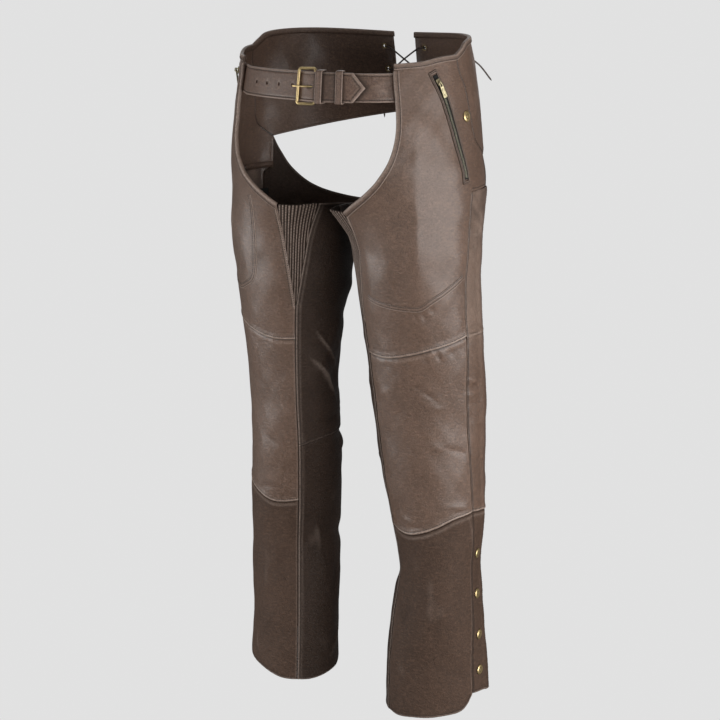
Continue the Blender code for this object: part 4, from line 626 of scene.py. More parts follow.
def nearest(cells, path):
    """Distance of each cell from a path, and how far along the path it lies, in millimetres."""
    scale = metres_per_degree(path[:, 0], path[:, 1])
    gap, along, total = np.full(len(cells), 1e3), np.zeros(len(cells)), 0.0
    for start, end, factor in zip(path, path[1:], scale):
        metric = np.array([factor, 1.0])
        run, off = (end - start) * metric, (cells - start) * metric
        length = max(np.hypot(*run), 1e-9)
        t = np.clip(off @ run / length**2, 0, 1)
        here = np.hypot(*(off - t[:, None] * run).T)
        closer = here < gap
        gap[closer], along[closer] = here[closer], (total + t * length)[closer]
        total += length
    return gap / MM, along / MM


def pucker(along):
    """The gathers that stitches pull into leather, from -1 to 1."""
    beat = 2 * math.pi * along
    return (0.45 * np.sin(beat / 8.3 + 1.7 * np.sin(beat / 37.0)) + 0.33 * np.sin(beat / 13.1 + 2.0)
            + 0.22 * np.sin(beat / 5.1 + 1.3 * np.sin(beat / 23.0)))


# Each kind of edge gives rise (mm), wear (0 to 1) and shade (0 to 1) from the distance to the
# edge, d, and the distance along it, s, both in millimetres.
def edge_over(d, s):
    """The upper piece of a lapped seam: a raised lip, rolled at its edge and stitched."""
    rise = (1.0 * fall(d, 3.0, 10.0) - 1.3 * bump(d, 0, 0.8) - 0.45 * bump(d, 4.3, 1.1)
            + 0.20 * pucker(s) * fall(d, 2.0, 11.0))
    shade = np.maximum(0.5 * bump(d, 0, 0.5), 0.45 * bump(d, 4.4, 0.9))
    return rise, bump(d, 2.1, 2.2) * (0.95 + 0.25 * pucker(s * 0.6)), shade


def edge_neat(d, s):
    """The upper piece of a flat lapped seam."""
    rise = 0.5 * fall(d, 3.0, 9.0) - 0.9 * bump(d, 0, 0.7) - 0.3 * bump(d, 4.3, 1.0)
    return rise, 0.16 * bump(d, 1.8, 1.5), np.maximum(0.55 * bump(d, 0, 0.7), 0.4 * bump(d, 4.3, 0.8))


def edge_below(d, s):
    """The lower piece of a flat lapped seam."""
    return -0.5 * fall(d, 0.3, 3.0), 0.0 * d, 0.5 * fall(d, 0.3, 1.5)


def edge_flat(d, s):
    """A seam pressed flat: a thin line of stitches."""
    return -0.35 * bump(d, 0, 0.8), 0.0 * d, 0.85 * bump(d, 0, 0.9)


def edge_crossing(d, s):
    """A seam's worn ridge where it crosses the side strip."""
    return 0.7 * bump(d, 0, 2.2), 0.9 * bump(d, 0, 1.6), 0.6 * bump(d, 3.0, 0.8)


def edge_strip(d, s):
    """The side strip's edge, stitched close beside it."""
    rise = -0.7 * bump(d, 0, 0.8) - 0.4 * bump(d, 2.2, 0.9) + 0.16 * pucker(s) * fall(d, 3.0, 9.0)
    return rise, 0.10 * bump(d, 0.8, 0.8), np.maximum(0.5 * bump(d, 0, 0.7), 1.0 * bump(d, 2.2, 1.1))


def edge_under(d, s):
    """The lower piece of a lapped seam: it dips under the lip, painted with shade there, and gathers below
    it.
    """
    rise = -0.9 * fall(d, 0.5, 5.5) + 0.36 * pucker(s) * fall(d, 1.0, 12.0)
    return rise, 0.25 * bump(d, 6.0, 2.2), 0.85 * fall(d, 0.8, 2.9)


def edge_turned(d, s):
    """A free edge, turned and stitched down."""
    rise = -0.9 * bump(d, 0, 0.9) - 0.35 * bump(d, 4.0, 1.0) + 0.16 * pucker(s) * fall(d, 3.0, 9.0)
    return rise, 0.50 * bump(d, 1.3, 1.2), np.maximum(0.5 * bump(d, 0, 0.5), 0.4 * bump(d, 4.0, 0.9))


def edge_butted(d, s):
    """A plain seam: two pieces meet in a narrow groove."""
    rise = -0.9 * bump(d, 0, 1.0) + 0.22 * pucker(s) * fall(d, 1.0, 9.0)
    return rise, 0.25 * bump(d, 2.0, 1.2), 0.9 * bump(d, 0, 0.9)


def edge_welted(d, s):
    """The inseam's rear piece: it stands up in a thin pale welt beside a dark groove."""
    rise = (-1.1 * bump(d, 0, 0.7) + 0.9 * bump(d, 2.1, 1.2) - 0.3 * bump(d, 4.6, 1.0)
            + 0.45 * bump(d, 7.2, 1.9) + 0.12 * pucker(s) * fall(d, 1, 9))
    return rise, 0.75 * bump(d, 2.1, 1.1) + 0.22 * bump(d, 7.2, 1.5), bump(d, 0, 0.8)


SEAMS = {
    "thigh_panel": (("thigh_low", edge_over), ("strip_front", edge_butted), ("inseam", edge_butted),
                    ("gusset_front", edge_over), ("strip_top", edge_neat), ("lobe_rear", edge_turned),
                    ("hip_seam", edge_flat)),
    "knee_panel": (("thigh_low", edge_under), ("shin_top", edge_over), ("strip_front", edge_butted),
                   ("inseam", edge_butted)),
    "shin_panel": (("shin_top", edge_under), ("hem_front", edge_turned), ("strip_front", edge_butted),
                   ("inseam", edge_butted)),
    "side_strip": (("strip_front", edge_strip), ("strip_rear", edge_strip), ("strip_top", edge_below),
                   ("strip_seam", edge_over), ("strip_knee", edge_crossing)),
    "snap_flap": (("strip_front", edge_strip), ("strip_rear", edge_strip), ("strip_seam", edge_under),
                  ("hem_strip", edge_turned)),
    "back_upper_panel": (("seat", edge_turned), ("knee_back", edge_neat), ("inseam_back", edge_welted),
                         ("gusset_back", edge_welted)),
    "back_lower_panel": (("knee_back", edge_below), ("hem_back", edge_turned), ("inseam_back", edge_welted)),
    "back_yoke": (("hip_seam", edge_flat), ("yoke_low", edge_turned), ("lacing", edge_turned)),
}


def relief(cells, name):
    """Rise (mm), wear and shade that a cut piece's seams give its leather."""
    paths = seam_paths()
    total = [np.zeros(len(cells)) for _ in range(3)]
    for path, kind in SEAMS[name]:
        rise, wear, shade = kind(*nearest(cells, paths[path]))
        total = [total[0] + rise, np.maximum(total[1], wear), np.maximum(total[2], shade)]
    return total


# ---- meshes
MARK_COLUMNS = ((2, "wear"), (3, "shade"))      # of a section's rows


def read(mesh):
    points = np.empty(len(mesh.vertices) * 3, np.float32)
    mesh.vertices.foreach_get("co", points)
    return points.reshape(-1, 3).astype(float)


def add(name, bm, look, body="root"):
    """An object from a bmesh, with its material, riding on its body."""
    mesh = bpy.data.meshes.new(name)
    bm.to_mesh(mesh)
    bm.free()
    mesh.shade_smooth()
    made = bpy.data.objects.new(name, mesh)
    bpy.context.scene.collection.objects.link(made)
    mesh.materials.append(bpy.data.materials[look + "_look"])
    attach(made, body)
    return made


def skin(grids, marks=None, flip=False, sheet=False, closed=False):
    """A bmesh surface through grids of points, which are joined where they share an edge.

    marks are further values for each point, kept as float attributes under their names. A sheet's
    rim is drawn back from its neighbours, and a closed body gets caps.
    """
    bm = bmesh.new()
    for k, grid in enumerate(grids):
        bmesh.ops.create_grid(bm, x_segments=grid.shape[1] - 1, y_segments=grid.shape[0] - 1,
                              size=0.5, matrix=Matrix.Translation((2.0 * k, 0, 0)))
    mesh = bpy.data.meshes.new("skin")
    bm.to_mesh(mesh)
    flat = read(mesh)
    which = np.round(flat[:, 0] / 2).astype(int)
    points = np.empty_like(flat)
    values = {name: np.zeros(len(flat), np.float32) for name in marks or {}}
    for k, grid in enumerate(grids):
        mine = which == k
        row = np.round((flat[mine, 1] + 0.5) * (grid.shape[0] - 1)).astype(int)
        col = np.round((flat[mine, 0] - 2.0 * k + 0.5) * (grid.shape[1] - 1)).astype(int)
        points[mine] = grid[row, col]
        for name in values:
            values[name][mine] = marks[name][k][row, col]
    mesh.vertices.foreach_set("co", points.astype(np.float32).ravel())
    for name, value in values.items():
        mesh.attributes.new(name, "FLOAT", "POINT").data.foreach_set("value", value)
    bm.clear()
    bm.from_mesh(mesh)
    bpy.data.meshes.remove(mesh)
    bmesh.ops.remove_doubles(bm, verts=bm.verts[:], dist=2e-6)
    if closed:
        bmesh.ops.holes_fill(bm, edges=[e for e in bm.edges if e.is_boundary], sides=0)
        bmesh.ops.recalc_face_normals(bm, faces=bm.faces[:])
    elif flip:
        bmesh.ops.reverse_faces(bm, faces=bm.faces[:])
    if sheet:
        draw_back(bm)
    return bm


def draw_back(bm, distance=0.03 * MM):
    """Move a sheet's rim a hair inwards, so that it stays clear of its neighbours."""
    moves = []
    for vert in bm.verts:
        if vert.is_boundary:
            inner = [e.other_vert(vert) for e in vert.link_edges if not e.is_boundary]
            inner = inner or [e.other_vert(vert) for e in vert.link_edges]
            step = sum((other.co - vert.co for other in inner), Vector()) / len(inner)
            moves.append((vert, step.normalized() * min(distance, step.length / 3)))
    for vert, step in moves:
        vert.co += step


def word(side):
    return "left_" if side > 0 else "right_"


def walled(made, thickness):
    """Thicken a sheet inwards."""
    wall = made.modifiers.new("wall", "SOLIDIFY")
    wall.thickness, wall.offset = thickness, -1.0


def panel(side, name, grids, look, lift=None, own_relief=relief):
    """One cut piece of leather, in place of its solid, as a creased wall over grids of cells."""
    points, wear, shade = [], [], []
    for grid in grids:
        shape, cells = grid.shape[:2], grid.reshape(-1, 2)
        rise, paled, dark = own_relief(cells, name)
        creased = crease_rise(*cells.T, side) / MM + rise
        raised = (lift(cells[:, 0]) if lift else 0.0) + rise * MM
        points.append(place(cells, raised, side).reshape(*shape, 3))
        # Crease crests are painted paler as highlight, and crease troughs darker as painted shade.
        wear.append(np.clip(paled + 0.20 * np.clip(creased - 1.0, 0, 2), 0, 1).reshape(shape))
        shade.append(np.clip(dark + 0.22 * np.clip(-creased - 0.9, 0, 2), 0, 1).reshape(shape))
    bm = skin(points, {"wear": wear, "shade": shade}, flip=side < 0, sheet=True)
    made = add(word(side) + name + "_leather", bm, look)
    walled(made, LEATHER)
    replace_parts(made, word(side) + name)
    return made


def rail(path, section, side, wave=0.0, depth=1.0):
    """Points, wear and shade along an (angle, height) path, with one section at each station.

    The section's rows are: distance to the path's right and lift from the leather, both in
    millimetres, then wear and shade. wave is how far the stitches' pull moves it in and out, and
    depth scales the lift, the wear and the shade at each station.
    """
    section = np.array(section, float)
    run, scale = heading(path)
    steps = np.linalg.norm(run, axis=1)
    right = np.column_stack([run[:, 1] / steps / scale, -run[:, 0] / steps])
    cells = path[:, None] + right[:, None] * section[None, :, :1] * MM
    pull = wave * pucker(np.cumsum(steps) / MM)[:, None]
    depth = np.broadcast_to(depth, len(path))[:, None]
    lift = (section[:, 1] + pull * np.sign(section[:, 1])) * MM
    lift = np.where(lift > 0, lift * depth, lift)
    strength = (1.0 + pull) * depth
    marks = {name: [np.clip(section[:, k] * strength, 0, 1)] for k, name in MARK_COLUMNS}
    return place(cells, lift, side), marks


def ring_grid(rings):
    """Rings closed on themselves: the first column is repeated as the last."""
    return np.concatenate([rings, rings[:, :1]], axis=1)


def loop_skin(rings, section=None):
    """A bmesh loop, closed both ways, whose section may give wear and shade."""
    grid = ring_grid(rings)
    grid, marks = np.concatenate([grid, grid[:1]]), {}
    if section is not None:
        marks = {name: [np.broadcast_to(np.append(section[:, k], section[0, k]), grid.shape[:2])]
                 for k, name in MARK_COLUMNS}
    bm = skin([grid], marks)
    bmesh.ops.recalc_face_normals(bm, faces=bm.faces[:])
    return bm


def tube(centres, radius, sides):
    """A bmesh round centre points, kept from twisting, whose ends close like a drop."""
    centres = np.array(centres, float)
    along = travelled(centres)
    reach = np.clip(np.minimum(along, along[-1] - along) / radius, 0.0, 1.0)
    radii = radius * np.sqrt(np.clip(1.0 - (1.0 - reach) ** 2, 0.04, 1.0))
    run = unit(np.gradient(centres, axis=0))
    start = np.cross(run[0], (0.0, 0.0, 1.0))
    if np.linalg.norm(start) < 0.2:
        start = np.cross(run[0], (0.0, 1.0, 0.0))
    turns = 2 * math.pi * np.arange(sides + 1) / sides
    rings = []
    for centre, size, way in zip(centres, radii, run):
        start = unit(start - way * np.dot(start, way))
        rings.append(centre + size * (np.outer(np.cos(turns), start)
                                      + np.outer(np.sin(turns), np.cross(way, start))))
    return skin([np.array(rings)], closed=True)


def frame_at(angle, height, side):
    """Matrix of the worn surface at a point: across, up, outwards and the point."""
    out = outward(angle, height, side) * mirror(side)
    across = worn(angle + TURN_STEP, height, side) - worn(angle - TURN_STEP, height, side)
    across = unit(across * mirror(side) * side)
    return axes_matrix(place((angle, height), 0.0, side), across, unit(np.cross(out, across)), out)


def axes_matrix(origin, first, second, third):
    matrix = Matrix.Identity(4)
    for k, axis in enumerate((first, second, third, origin)):
        for row in range(3):
            matrix[row][k] = float(axis[row])
    return matrix


def turned(profile, matrix, sides):
    """A body turned about the matrix's Z axis from (radius, rise, shade) rows in millimetres."""
    bm = bmesh.new()
    layer = bm.verts.layers.float.new("shade")
    verts = []
    for radius, rise, shade in profile:
        verts.append(bm.verts.new((radius * MM, 0.0, rise * MM)))
        verts[-1][layer] = shade
    edges = [bm.edges.new(pair) for pair in zip(verts, verts[1:])]
    bmesh.ops.spin(bm, geom=verts + edges, cent=(0, 0, 0), axis=(0, 0, 1), steps=sides,
                   angle=2 * math.pi, use_merge=True)
    bmesh.ops.remove_doubles(bm, verts=bm.verts[:], dist=1e-6)
    bmesh.ops.recalc_face_normals(bm, faces=bm.faces[:])
    bmesh.ops.transform(bm, matrix=matrix, verts=bm.verts[:])
    return bm


def plate(outline, low, high, matrix):
    """A bmesh plate: an outline in the matrix's X and Y, from low to high along its Z."""
    bm = bmesh.new()
    face = bm.faces.new([bm.verts.new((u, v, low)) for u, v in outline])
    rise = bmesh.ops.extrude_face_region(bm, geom=[face])
    bmesh.ops.translate(bm, vec=(0, 0, high - low),
                        verts=[g for g in rise["geom"] if isinstance(g, bmesh.types.BMVert)])
    bmesh.ops.recalc_face_normals(bm, faces=bm.faces[:])
    bmesh.ops.transform(bm, matrix=matrix, verts=bm.verts)
    if matrix.to_3x3().determinant() < 0:
        bmesh.ops.reverse_faces(bm, faces=bm.faces[:])
    return bm


def cut_holes(made, *tools):
    """Cut bmesh solids out of a piece, and leave it a plain mesh."""
    spare = []
    for k, tool in enumerate(tools):
        mesh = bpy.data.meshes.new("tool")
        tool.to_mesh(mesh)
        tool.free()
        spare.append(bpy.data.objects.new("tool", mesh))
        bpy.context.scene.collection.objects.link(spare[-1])
        cut = made.modifiers.new("cut_%d" % k, "BOOLEAN")
        cut.operation, cut.solver, cut.object = "DIFFERENCE", "EXACT", spare[-1]
    bpy.context.view_layer.update()
    shaped = bpy.data.meshes.new_from_object(made.evaluated_get(bpy.context.evaluated_depsgraph_get()))
    made.modifiers.clear()
    old, made.data = made.data, shaped
    shaped.name = made.name
    bpy.data.meshes.remove(old)
    for tool in spare:
        bpy.data.meshes.remove(tool.data)


def soften(made, width, segments=2):
    """Round a hard piece's edges."""
    bm = bmesh.new()
    bm.from_mesh(made.data)
    bmesh.ops.remove_doubles(bm, verts=bm.verts[:], dist=2e-6)
    edges = [e for e in bm.edges if e.is_manifold and e.calc_face_angle(0.0) > math.radians(35.0)]
    bmesh.ops.bevel(bm, geom=edges, offset=width, affect="EDGES", segments=segments, profile=0.5,
                    clamp_overlap=True, material=-1)
    bm.to_mesh(made.data)
    bm.free()
    made.data.shade_smooth()
    made.data.set_sharp_from_angle(angle=math.radians(50.0))


def both(half):
    """A whole outline, from the half of it that lies to the positive side of the first axis."""
    other = [(u, -v) for u, v in half]
    return other[:1] + half + other[:0:-1]


# ---- materials
def node(tree, kind, inputs=(), **values):
    """A shader node. inputs holds (input, value or socket) pairs."""
    made = tree.nodes.new("ShaderNode" + kind)
    for key, value in values.items():
        setattr(made, key, value)
    for key, value in inputs:
        if isinstance(value, bpy.types.NodeSocket):
            tree.links.new(value, made.inputs[key])
        else:
            made.inputs[key].default_value = value
    return made


def new_look(name, roughness, metallic=0.0, **constants):
    """A new material's node tree and shader, with constant values set."""
    made = bpy.data.materials.new(name + "_look")
    made.use_nodes = True
    shader = made.node_tree.nodes["Principled BSDF"]
    for key, value in {"Roughness": roughness, "Metallic": metallic, **constants}.items():
        shader.inputs[key.replace("_", " ")].default_value = value
    return made.node_tree, shader


def blend_colour(tree, share, first, second):
    """first where share is 0, second where it is 1."""
    return node(tree, "Mix", ((0, share), (6, first), (7, second)), data_type="RGBA").outputs[2]


def maths(tree, operation, *values):
    return node(tree, "Math", tuple(enumerate(values)), operation=operation).outputs[0]


def times(tree, value, factor, add_on=0.0, clamp=False):
    made = maths(tree, "MULTIPLY_ADD", value, factor, add_on)
    made.node.use_clamp = clamp
    return made


def tint(colour, factor):
    return tuple(min(c * factor, 1.0) for c in colour) + (1.0,)


def noise(tree, scale, detail=3.0, roughness=0.6, where=None):
    """Noise through the object's own space."""
    where = where or node(tree, "TexCoord").outputs["Object"]
    return node(tree, "TexNoise", (("Vector", where), ("Scale", scale), ("Detail", detail),
                                   ("Roughness", roughness))).outputs["Fac"]


def attribute(tree, name):
    return node(tree, "Attribute", attribute_name=name).outputs["Fac"]


def bumped(tree, shader, height, strength, distance):
    made = node(tree, "Bump", (("Strength", strength), ("Distance", distance), ("Height", height)))
    tree.links.new(made.outputs[0], shader.inputs["Normal"])


def leather_look(name, colour, roughness=0.42, grain=1.0, coat=0.50, tone_and_shade=1.0, shine=0.5):
    """Worn leather: mottled colour, ridges paled by wear and by painted highlights, dark seam lines with
    painted shade in grooves and creases, and a pebbled grain.
    """
    own = settings("leather")
    colour = [c * d * tone_and_shade for c, d in zip(colour, own.tone_and_shade)]
    tree, shader = new_look(name, roughness, Coat_Weight=coat, Coat_Roughness=0.30,
                            Specular_IOR_Level=shine, Specular_Tint=(1.0, 0.93, 0.88, 1.0),
                            Coat_Tint=(1.0, 0.95, 0.91, 1.0))
    where = node(tree, "TexCoord").outputs["Object"]
    # The fine creasing of the hide runs round the leg.
    level = node(tree, "Mapping", (("Vector", where), ("Scale", (1.0, 1.0, 2.2)))).outputs[0]
    clouds = noise(tree, 14.0, 4.0, 0.62)
    streaks = noise(tree, 150.0, 5.0, 0.70, level)
    mottle = noise(tree, 330.0, 3.0, 0.7)
    pores = noise(tree, 2400.0, 2.0)
    cells = node(tree, "TexVoronoi", (("Vector", where), ("Scale", 1.0 / (own.grain * grain)),
                                      ("Randomness", 0.92)), feature="DISTANCE_TO_EDGE").outputs[0]
    wear, shade = attribute(tree, "wear"), attribute(tree, "shade")
    # Real wear at seams and edges, and painted highlights on crease and rib crests and on the side strip,
    # pale the colour in patches.
    patchy = maths(tree, "MULTIPLY", wear, times(tree, mottle, 2.6, -0.35, True))
    # The bottoms of the grain are darker than its pebbles.
    groove = maths(tree, "MINIMUM", cells, 0.09)
    base = tint(colour, 0.80)
    # Shade darkens the seam lines, and is painted shade in grooves, crease troughs, rib gaps and beside the
    # belt's keepers.
    for share, factor, add_on, other in (
            (clouds, 3.0, -1.0, tint(colour, 1.08)), (streaks, 5.0, -2.35, tint(colour, 1.45)),
            (mottle, -4.5, 2.25, tint(colour, 0.52)), (patchy, 0.80, 0.0, (*own.worn, 1.0)),
            (shade, 0.85, 0.0, tint(colour, 0.15)), (groove, -4.5, 0.40, tint(colour, 0.30))):
        base = blend_colour(tree, times(tree, share, factor, add_on, True), base, other)
    tree.links.new(base, shader.inputs["Base Color"])
    rough = times(tree, mottle, 0.45, roughness - 0.22)
    tree.links.new(times(tree, shade, 0.25, rough, True), shader.inputs["Roughness"])
    pebbles = maths(tree, "MINIMUM", cells, 0.22)
    height = times(tree, streaks, 2.2, times(tree, mottle, 1.9, times(tree, pebbles, 1.2)))
    bumped(tree, shader, times(tree, pores, 0.12, height), 0.9, 0.55 * MM)


def brass_look(name, colour, roughness=0.26):
    """Brass with a brown patina in its hollows, rubbed bright elsewhere."""
    tree, shader = new_look(name, 0.28, 1.0)
    stain = noise(tree, 330.0, 5.0, 0.7)
    base = blend_colour(tree, times(tree, stain, 1.9, -0.72, True), tint(colour, 1.05),
                        tint(colour, 0.50))
    base = blend_colour(tree, times(tree, attribute(tree, "shade"), 0.9, 0.0, True), base,
                        (0.085, 0.055, 0.025, 1.0))
    tree.links.new(base, shader.inputs["Base Color"])
    tree.links.new(times(tree, stain, 0.36, roughness, True), shader.inputs["Roughness"])
    bumped(tree, shader, noise(tree, 900.0), 0.3, 0.05 * MM)


def uneven_look(name, low, high, scale, roughness, metallic=0.0):
    """A plain surface, a little uneven between two colours."""
    tree, shader = new_look(name, roughness, metallic)
    tree.links.new(blend_colour(tree, times(tree, noise(tree, scale), 2.0, -0.5, True), low, high),
                   shader.inputs["Base Color"])


def woven_look(name, colour, scale, roughness):
    """A fine twill."""
    tree, shader = new_look(name, roughness)
    where = node(tree, "TexCoord").outputs["Object"]
    twill = node(tree, "TexWave", (("Vector", where), ("Scale", scale), ("Distortion", 1.2),
                                   ("Detail", 1.0)), bands_direction="DIAGONAL").outputs["Fac"]
    tree.links.new(blend_colour(tree, twill, tint(colour, 0.55), tint(colour, 1.5)),
                   shader.inputs["Base Color"])
    bumped(tree, shader, twill, 0.6, 0.15 * MM)


# ---- the legs
class CHAPS_OT_looks(bpy.types.Operator):
    """Make the materials."""
    bl_idname = "chaps.looks"
    bl_label = "Materials"

    def execute(self, context):
        own, metal, thread = settings("leather"), settings("metal"), settings("sewing").colour
        leather_look("front_leather", own.front)
        leather_look("shin_leather", own.shin, 0.62, coat=0.0, tone_and_shade=0.78, shine=0.30)
        # The back leather is scaled to 0.46, far below the others: painted shade for the shadow on the legs'
        # backs and between the legs.
        leather_look("back_leather", own.back, coat=0.0, tone_and_shade=0.46, shine=0.25)
        leather_look("stretch_leather", own.stretch, 0.50, grain=0.7, coat=0.0, tone_and_shade=0.8, shine=0.3)
        leather_look("binding_leather", own.binding, 0.46, grain=0.7, coat=0.15)
        leather_look("belt_leather", own.belt, grain=0.8, coat=0.35, tone_and_shade=0.85)
        brass_look("brass", metal.brass)
        brass_look("slider_brass", metal.slider, roughness=0.30)
        uneven_look("zip_teeth", (0.10, 0.095, 0.07, 1.0), (0.30, 0.28, 0.21, 1.0), 500.0, 0.42, 0.85)
        uneven_look("thread", tint(thread, 0.7), tint(thread, 1.4), 700.0, 0.6)
        # The zip tape is darkened to a tenth of its colour: painted shade for the shadow in the slots.
        woven_look("zip_tape", tint(metal.tape, 0.12)[:3], 520.0, 0.85)
        woven_look("lace", metal.lace, 300.0, 0.55)
        black, white = (0.0, 0.0, 0.0, 1.0), (1.0, 1.0, 1.0, 1.0)
        new_look("studio_paper", 1.0, Specular_IOR_Level=0.0, Base_Color=black, Emission_Color=white,
                 Emission_Strength=settings("studio").glow)
        return {"FINISHED"}


class CHAPS_OT_front_panels(bpy.types.Operator):
    """Cut and lay the thigh, knee and shin fronts."""
    bl_idname = "chaps.front_panels"
    bl_label = "Front panels"

    def execute(self, context):
        cell = settings("leather").cell
        thigh = by_angle(SEAM_THIGH, INSEAM, STRIP_FRONT)
        shin = by_angle(SEAM_SHIN, INSEAM, STRIP_FRONT)
        hem = by_angle(HEM_FRONT, INSEAM, STRIP_FRONT)
        across = spread(0.185, cell)
        for side in SIDES:
            for name, low, high, look, size, area in (
                    ("shin_panel", hem, shin, "shin_leather", (0.190, 0.320), 0.0477),
                    ("knee_panel", shin, thigh, "front_leather", (0.190, 0.290), 0.0449)):
                first = upright(INSEAM, low[0, 1], high[0, 1])
                last = strip_front(np.linspace(low[-1, 1], high[-1, 1], 401))
                grid = patch(low, high, first, last, across, spread(measured(first), cell))
                panel(side, name, [grid], look)
            self.thigh(side, thigh, across, cell)
        return {"FINISHED"}

    def thigh(self, side, low, across, cell):
        """The thigh front with the lobe that passes over the top of the side strip."""
        total = BELOW_TIP + ALONG_GUSSET + ALONG_LOBE + ALONG_HIP
        lobe_start = (BELOW_TIP + ALONG_GUSSET) / total
        lobe_end = (BELOW_TIP + ALONG_GUSSET + ALONG_LOBE) / total
        first = joined(upright(INSEAM, low[0, 1], GUSSET_TIP, BELOW_TIP * FINE),
                       np.linspace((INSEAM, GUSSET_TIP), CUTOUT_EDGE[0], ALONG_GUSSET * FINE + 1),
                       curve(CUTOUT_EDGE, (ALONG_LOBE + ALONG_HIP) * FINE))
        lobe_foot = strip_front([STRIP_TOP])[0]
        lobe_edge = np.linspace(lobe_foot, HIP_SEAM[0], ALONG_LOBE * FINE + 1)
        strip_rows = (BELOW_TIP + ALONG_GUSSET) * FINE + 1
        last = joined(strip_front(np.linspace(low[-1, 1], STRIP_TOP, strip_rows)), lobe_edge,
                      curve(HIP_SEAM, ALONG_HIP * FINE))
        up = spread(0.43, cell, (BELOW_TIP / total, lobe_start, lobe_end))
        main = patch(low, curve(WAIST_FRONT, 400), first, last, across, up)
        lobe_up = (up[(up >= lobe_start) & (up <= lobe_end)] - lobe_start) / (lobe_end - lobe_start)
        lobe_last = np.linspace((STRIP_REAR, STRIP_TOP), HIP_SEAM_LOW[-1], 41)
        lobe = patch(np.linspace(lobe_foot, (STRIP_REAR, STRIP_TOP), 41), curve(HIP_SEAM_LOW, 40),
                     lobe_edge, lobe_last, spread(0.055, cell), lobe_up)
        panel(side, "thigh_panel", [main, lobe], "front_leather")


class CHAPS_OT_back_panels(bpy.types.Operator):
    """Cut and lay the upper and lower backs of the legs."""
    bl_idname = "chaps.back_panels"
    bl_label = "Back panels"

    def execute(self, context):
        cell = settings("leather").cell * 1.45
        knee = by_angle(SEAM_KNEE_BACK, BACK_FRONT_EDGE, INSEAM_BACK)
        hem = by_angle(HEM_BACK, BACK_FRONT_EDGE, INSEAM_BACK)
        across = spread(0.30, cell)
        lower = patch(hem, knee, upright(BACK_FRONT_EDGE, hem[0, 1], knee[0, 1]),
                      upright(INSEAM_BACK, hem[-1, 1], knee[-1, 1]), across, spread(0.41, cell))
        total = BACK_BELOW_TIP + ALONG_GUSSET
        edge = upright(BACK_FRONT_EDGE, knee[0, 1], STRIP_TOP - 0.012, (total - 3) * FINE)
        # The front edge steps out along the top of the side strip.
        step = at(np.vstack([edge[-1:], [(STRIP_REAR, STRIP_TOP), HIP_SEAM_LOW[-1]]]),
                  np.linspace(0, 1, 3 * FINE + 1))
        last = joined(upright(INSEAM_BACK, knee[-1, 1], GUSSET_TIP, BACK_BELOW_TIP * FINE),
                      np.linspace((INSEAM_BACK, GUSSET_TIP), (GUSSET_BACK, GUSSET_TOP),
                                  ALONG_GUSSET * FINE + 1))
        up = spread(0.40, cell, (BACK_BELOW_TIP / total, (total - 3) / total, (total - 2) / total))
        upper = patch(knee, curve(SEAT_EDGE, 400), joined(edge, step), last, across, up)
        for side in SIDES:
            panel(side, "back_lower_panel", [lower], "back_leather")
            panel(side, "back_upper_panel", [upper], "back_leather")
        return {"FINISHED"}


class CHAPS_OT_yokes(bpy.types.Operator):
    """Cut and lay the back yokes, with holes for the lacing."""
    bl_idname = "chaps.yokes"
    bl_label = "Back yokes"

    def execute(self, context):
        cell = settings("leather").cell * 1.2
        low, high = curve(YOKE_LOW, 400), curve(WAIST_BACK, 400)
        first = joined(curve(HIP_SEAM_LOW, 3 * FINE)[::-1], curve(HIP_SEAM, ALONG_HIP * FINE))
        last = np.linspace(low[-1], high[-1], 401)
        share = 3 / (3 + ALONG_HIP)
        grid = patch(low, high, first, last, spread(0.24, cell), spread(0.16, cell, (share,)))
        for side in SIDES:
            made = panel(side, "back_yoke", [grid], "front_leather")
            bm = bmesh.new()
            bm.from_mesh(made.data)
            for height in EYELET_HEIGHTS:
                centre = Vector(place((EYELET_ANGLE, height), 0.0, side))
                near = [f for f in bm.faces if (f.calc_center_median() - centre).length < EYELET_HOLE]
                bmesh.ops.delete(bm, geom=near, context="FACES")
            bm.to_mesh(made.data)
            bm.free()
        return {"FINISHED"}


RIBS = (-50.7, -21.5)           # angles between which a gusset's ribs lie


def ribbed(cells, name):
    """Each rib of the gusset is gathered into small lumps; its crest is painted paler as highlight and the
    gap on either side painted dark as shade.
    """
    angle, height = cells.T
    number = (angle - RIBS[0]) / (RIBS[1] - RIBS[0]) * GUSSET_RIBS
    crest = 1.0 - np.abs(number % 1.0 - 0.5) * 2.0
    which = np.floor(number)
    lumps = np.sin(height / MM / 0.72 + 2.3 * which + 0.8 * np.sin(height / MM / 4.7 + which))
    rise = RIB_RISE / MM * (-1.0 + 1.1 * (1.0 - (1.0 - crest) ** 2.2)) + 0.24 * lumps * crest
    return rise, ease(crest * 1.6 - 0.4) * (0.80 + 0.35 * lumps), ease(1.35 - 2.0 * crest)


class CHAPS_OT_gussets(bpy.types.Operator):
    """Lay the ribbed stretch leather at the top of each inseam."""
    bl_idname = "chaps.gussets"
    bl_label = "Stretch gussets"

    def execute(self, context):
        ribs = np.linspace(*RIBS, 8 * GUSSET_RIBS + 1)
        corner = np.where(ribs < INSEAM, GUSSET_BACK - 360.0, GUSSET_FRONT)
        foot = GUSSET_TIP + (GUSSET_TOP - GUSSET_TIP) * ((ribs - INSEAM) / (corner - INSEAM))
        low, high = (np.column_stack([ribs, np.broadcast_to(height, len(ribs))])
                     for height in (foot, GUSSET_TOP))
        grid = np.array([(1 - t) * low + t * high for t in np.linspace(0, 1, 132)])
        for side in SIDES:
            panel(side, "stretch_gusset", [grid], "stretch_leather",
                  own_relief=ribbed)
        return {"FINISHED"}


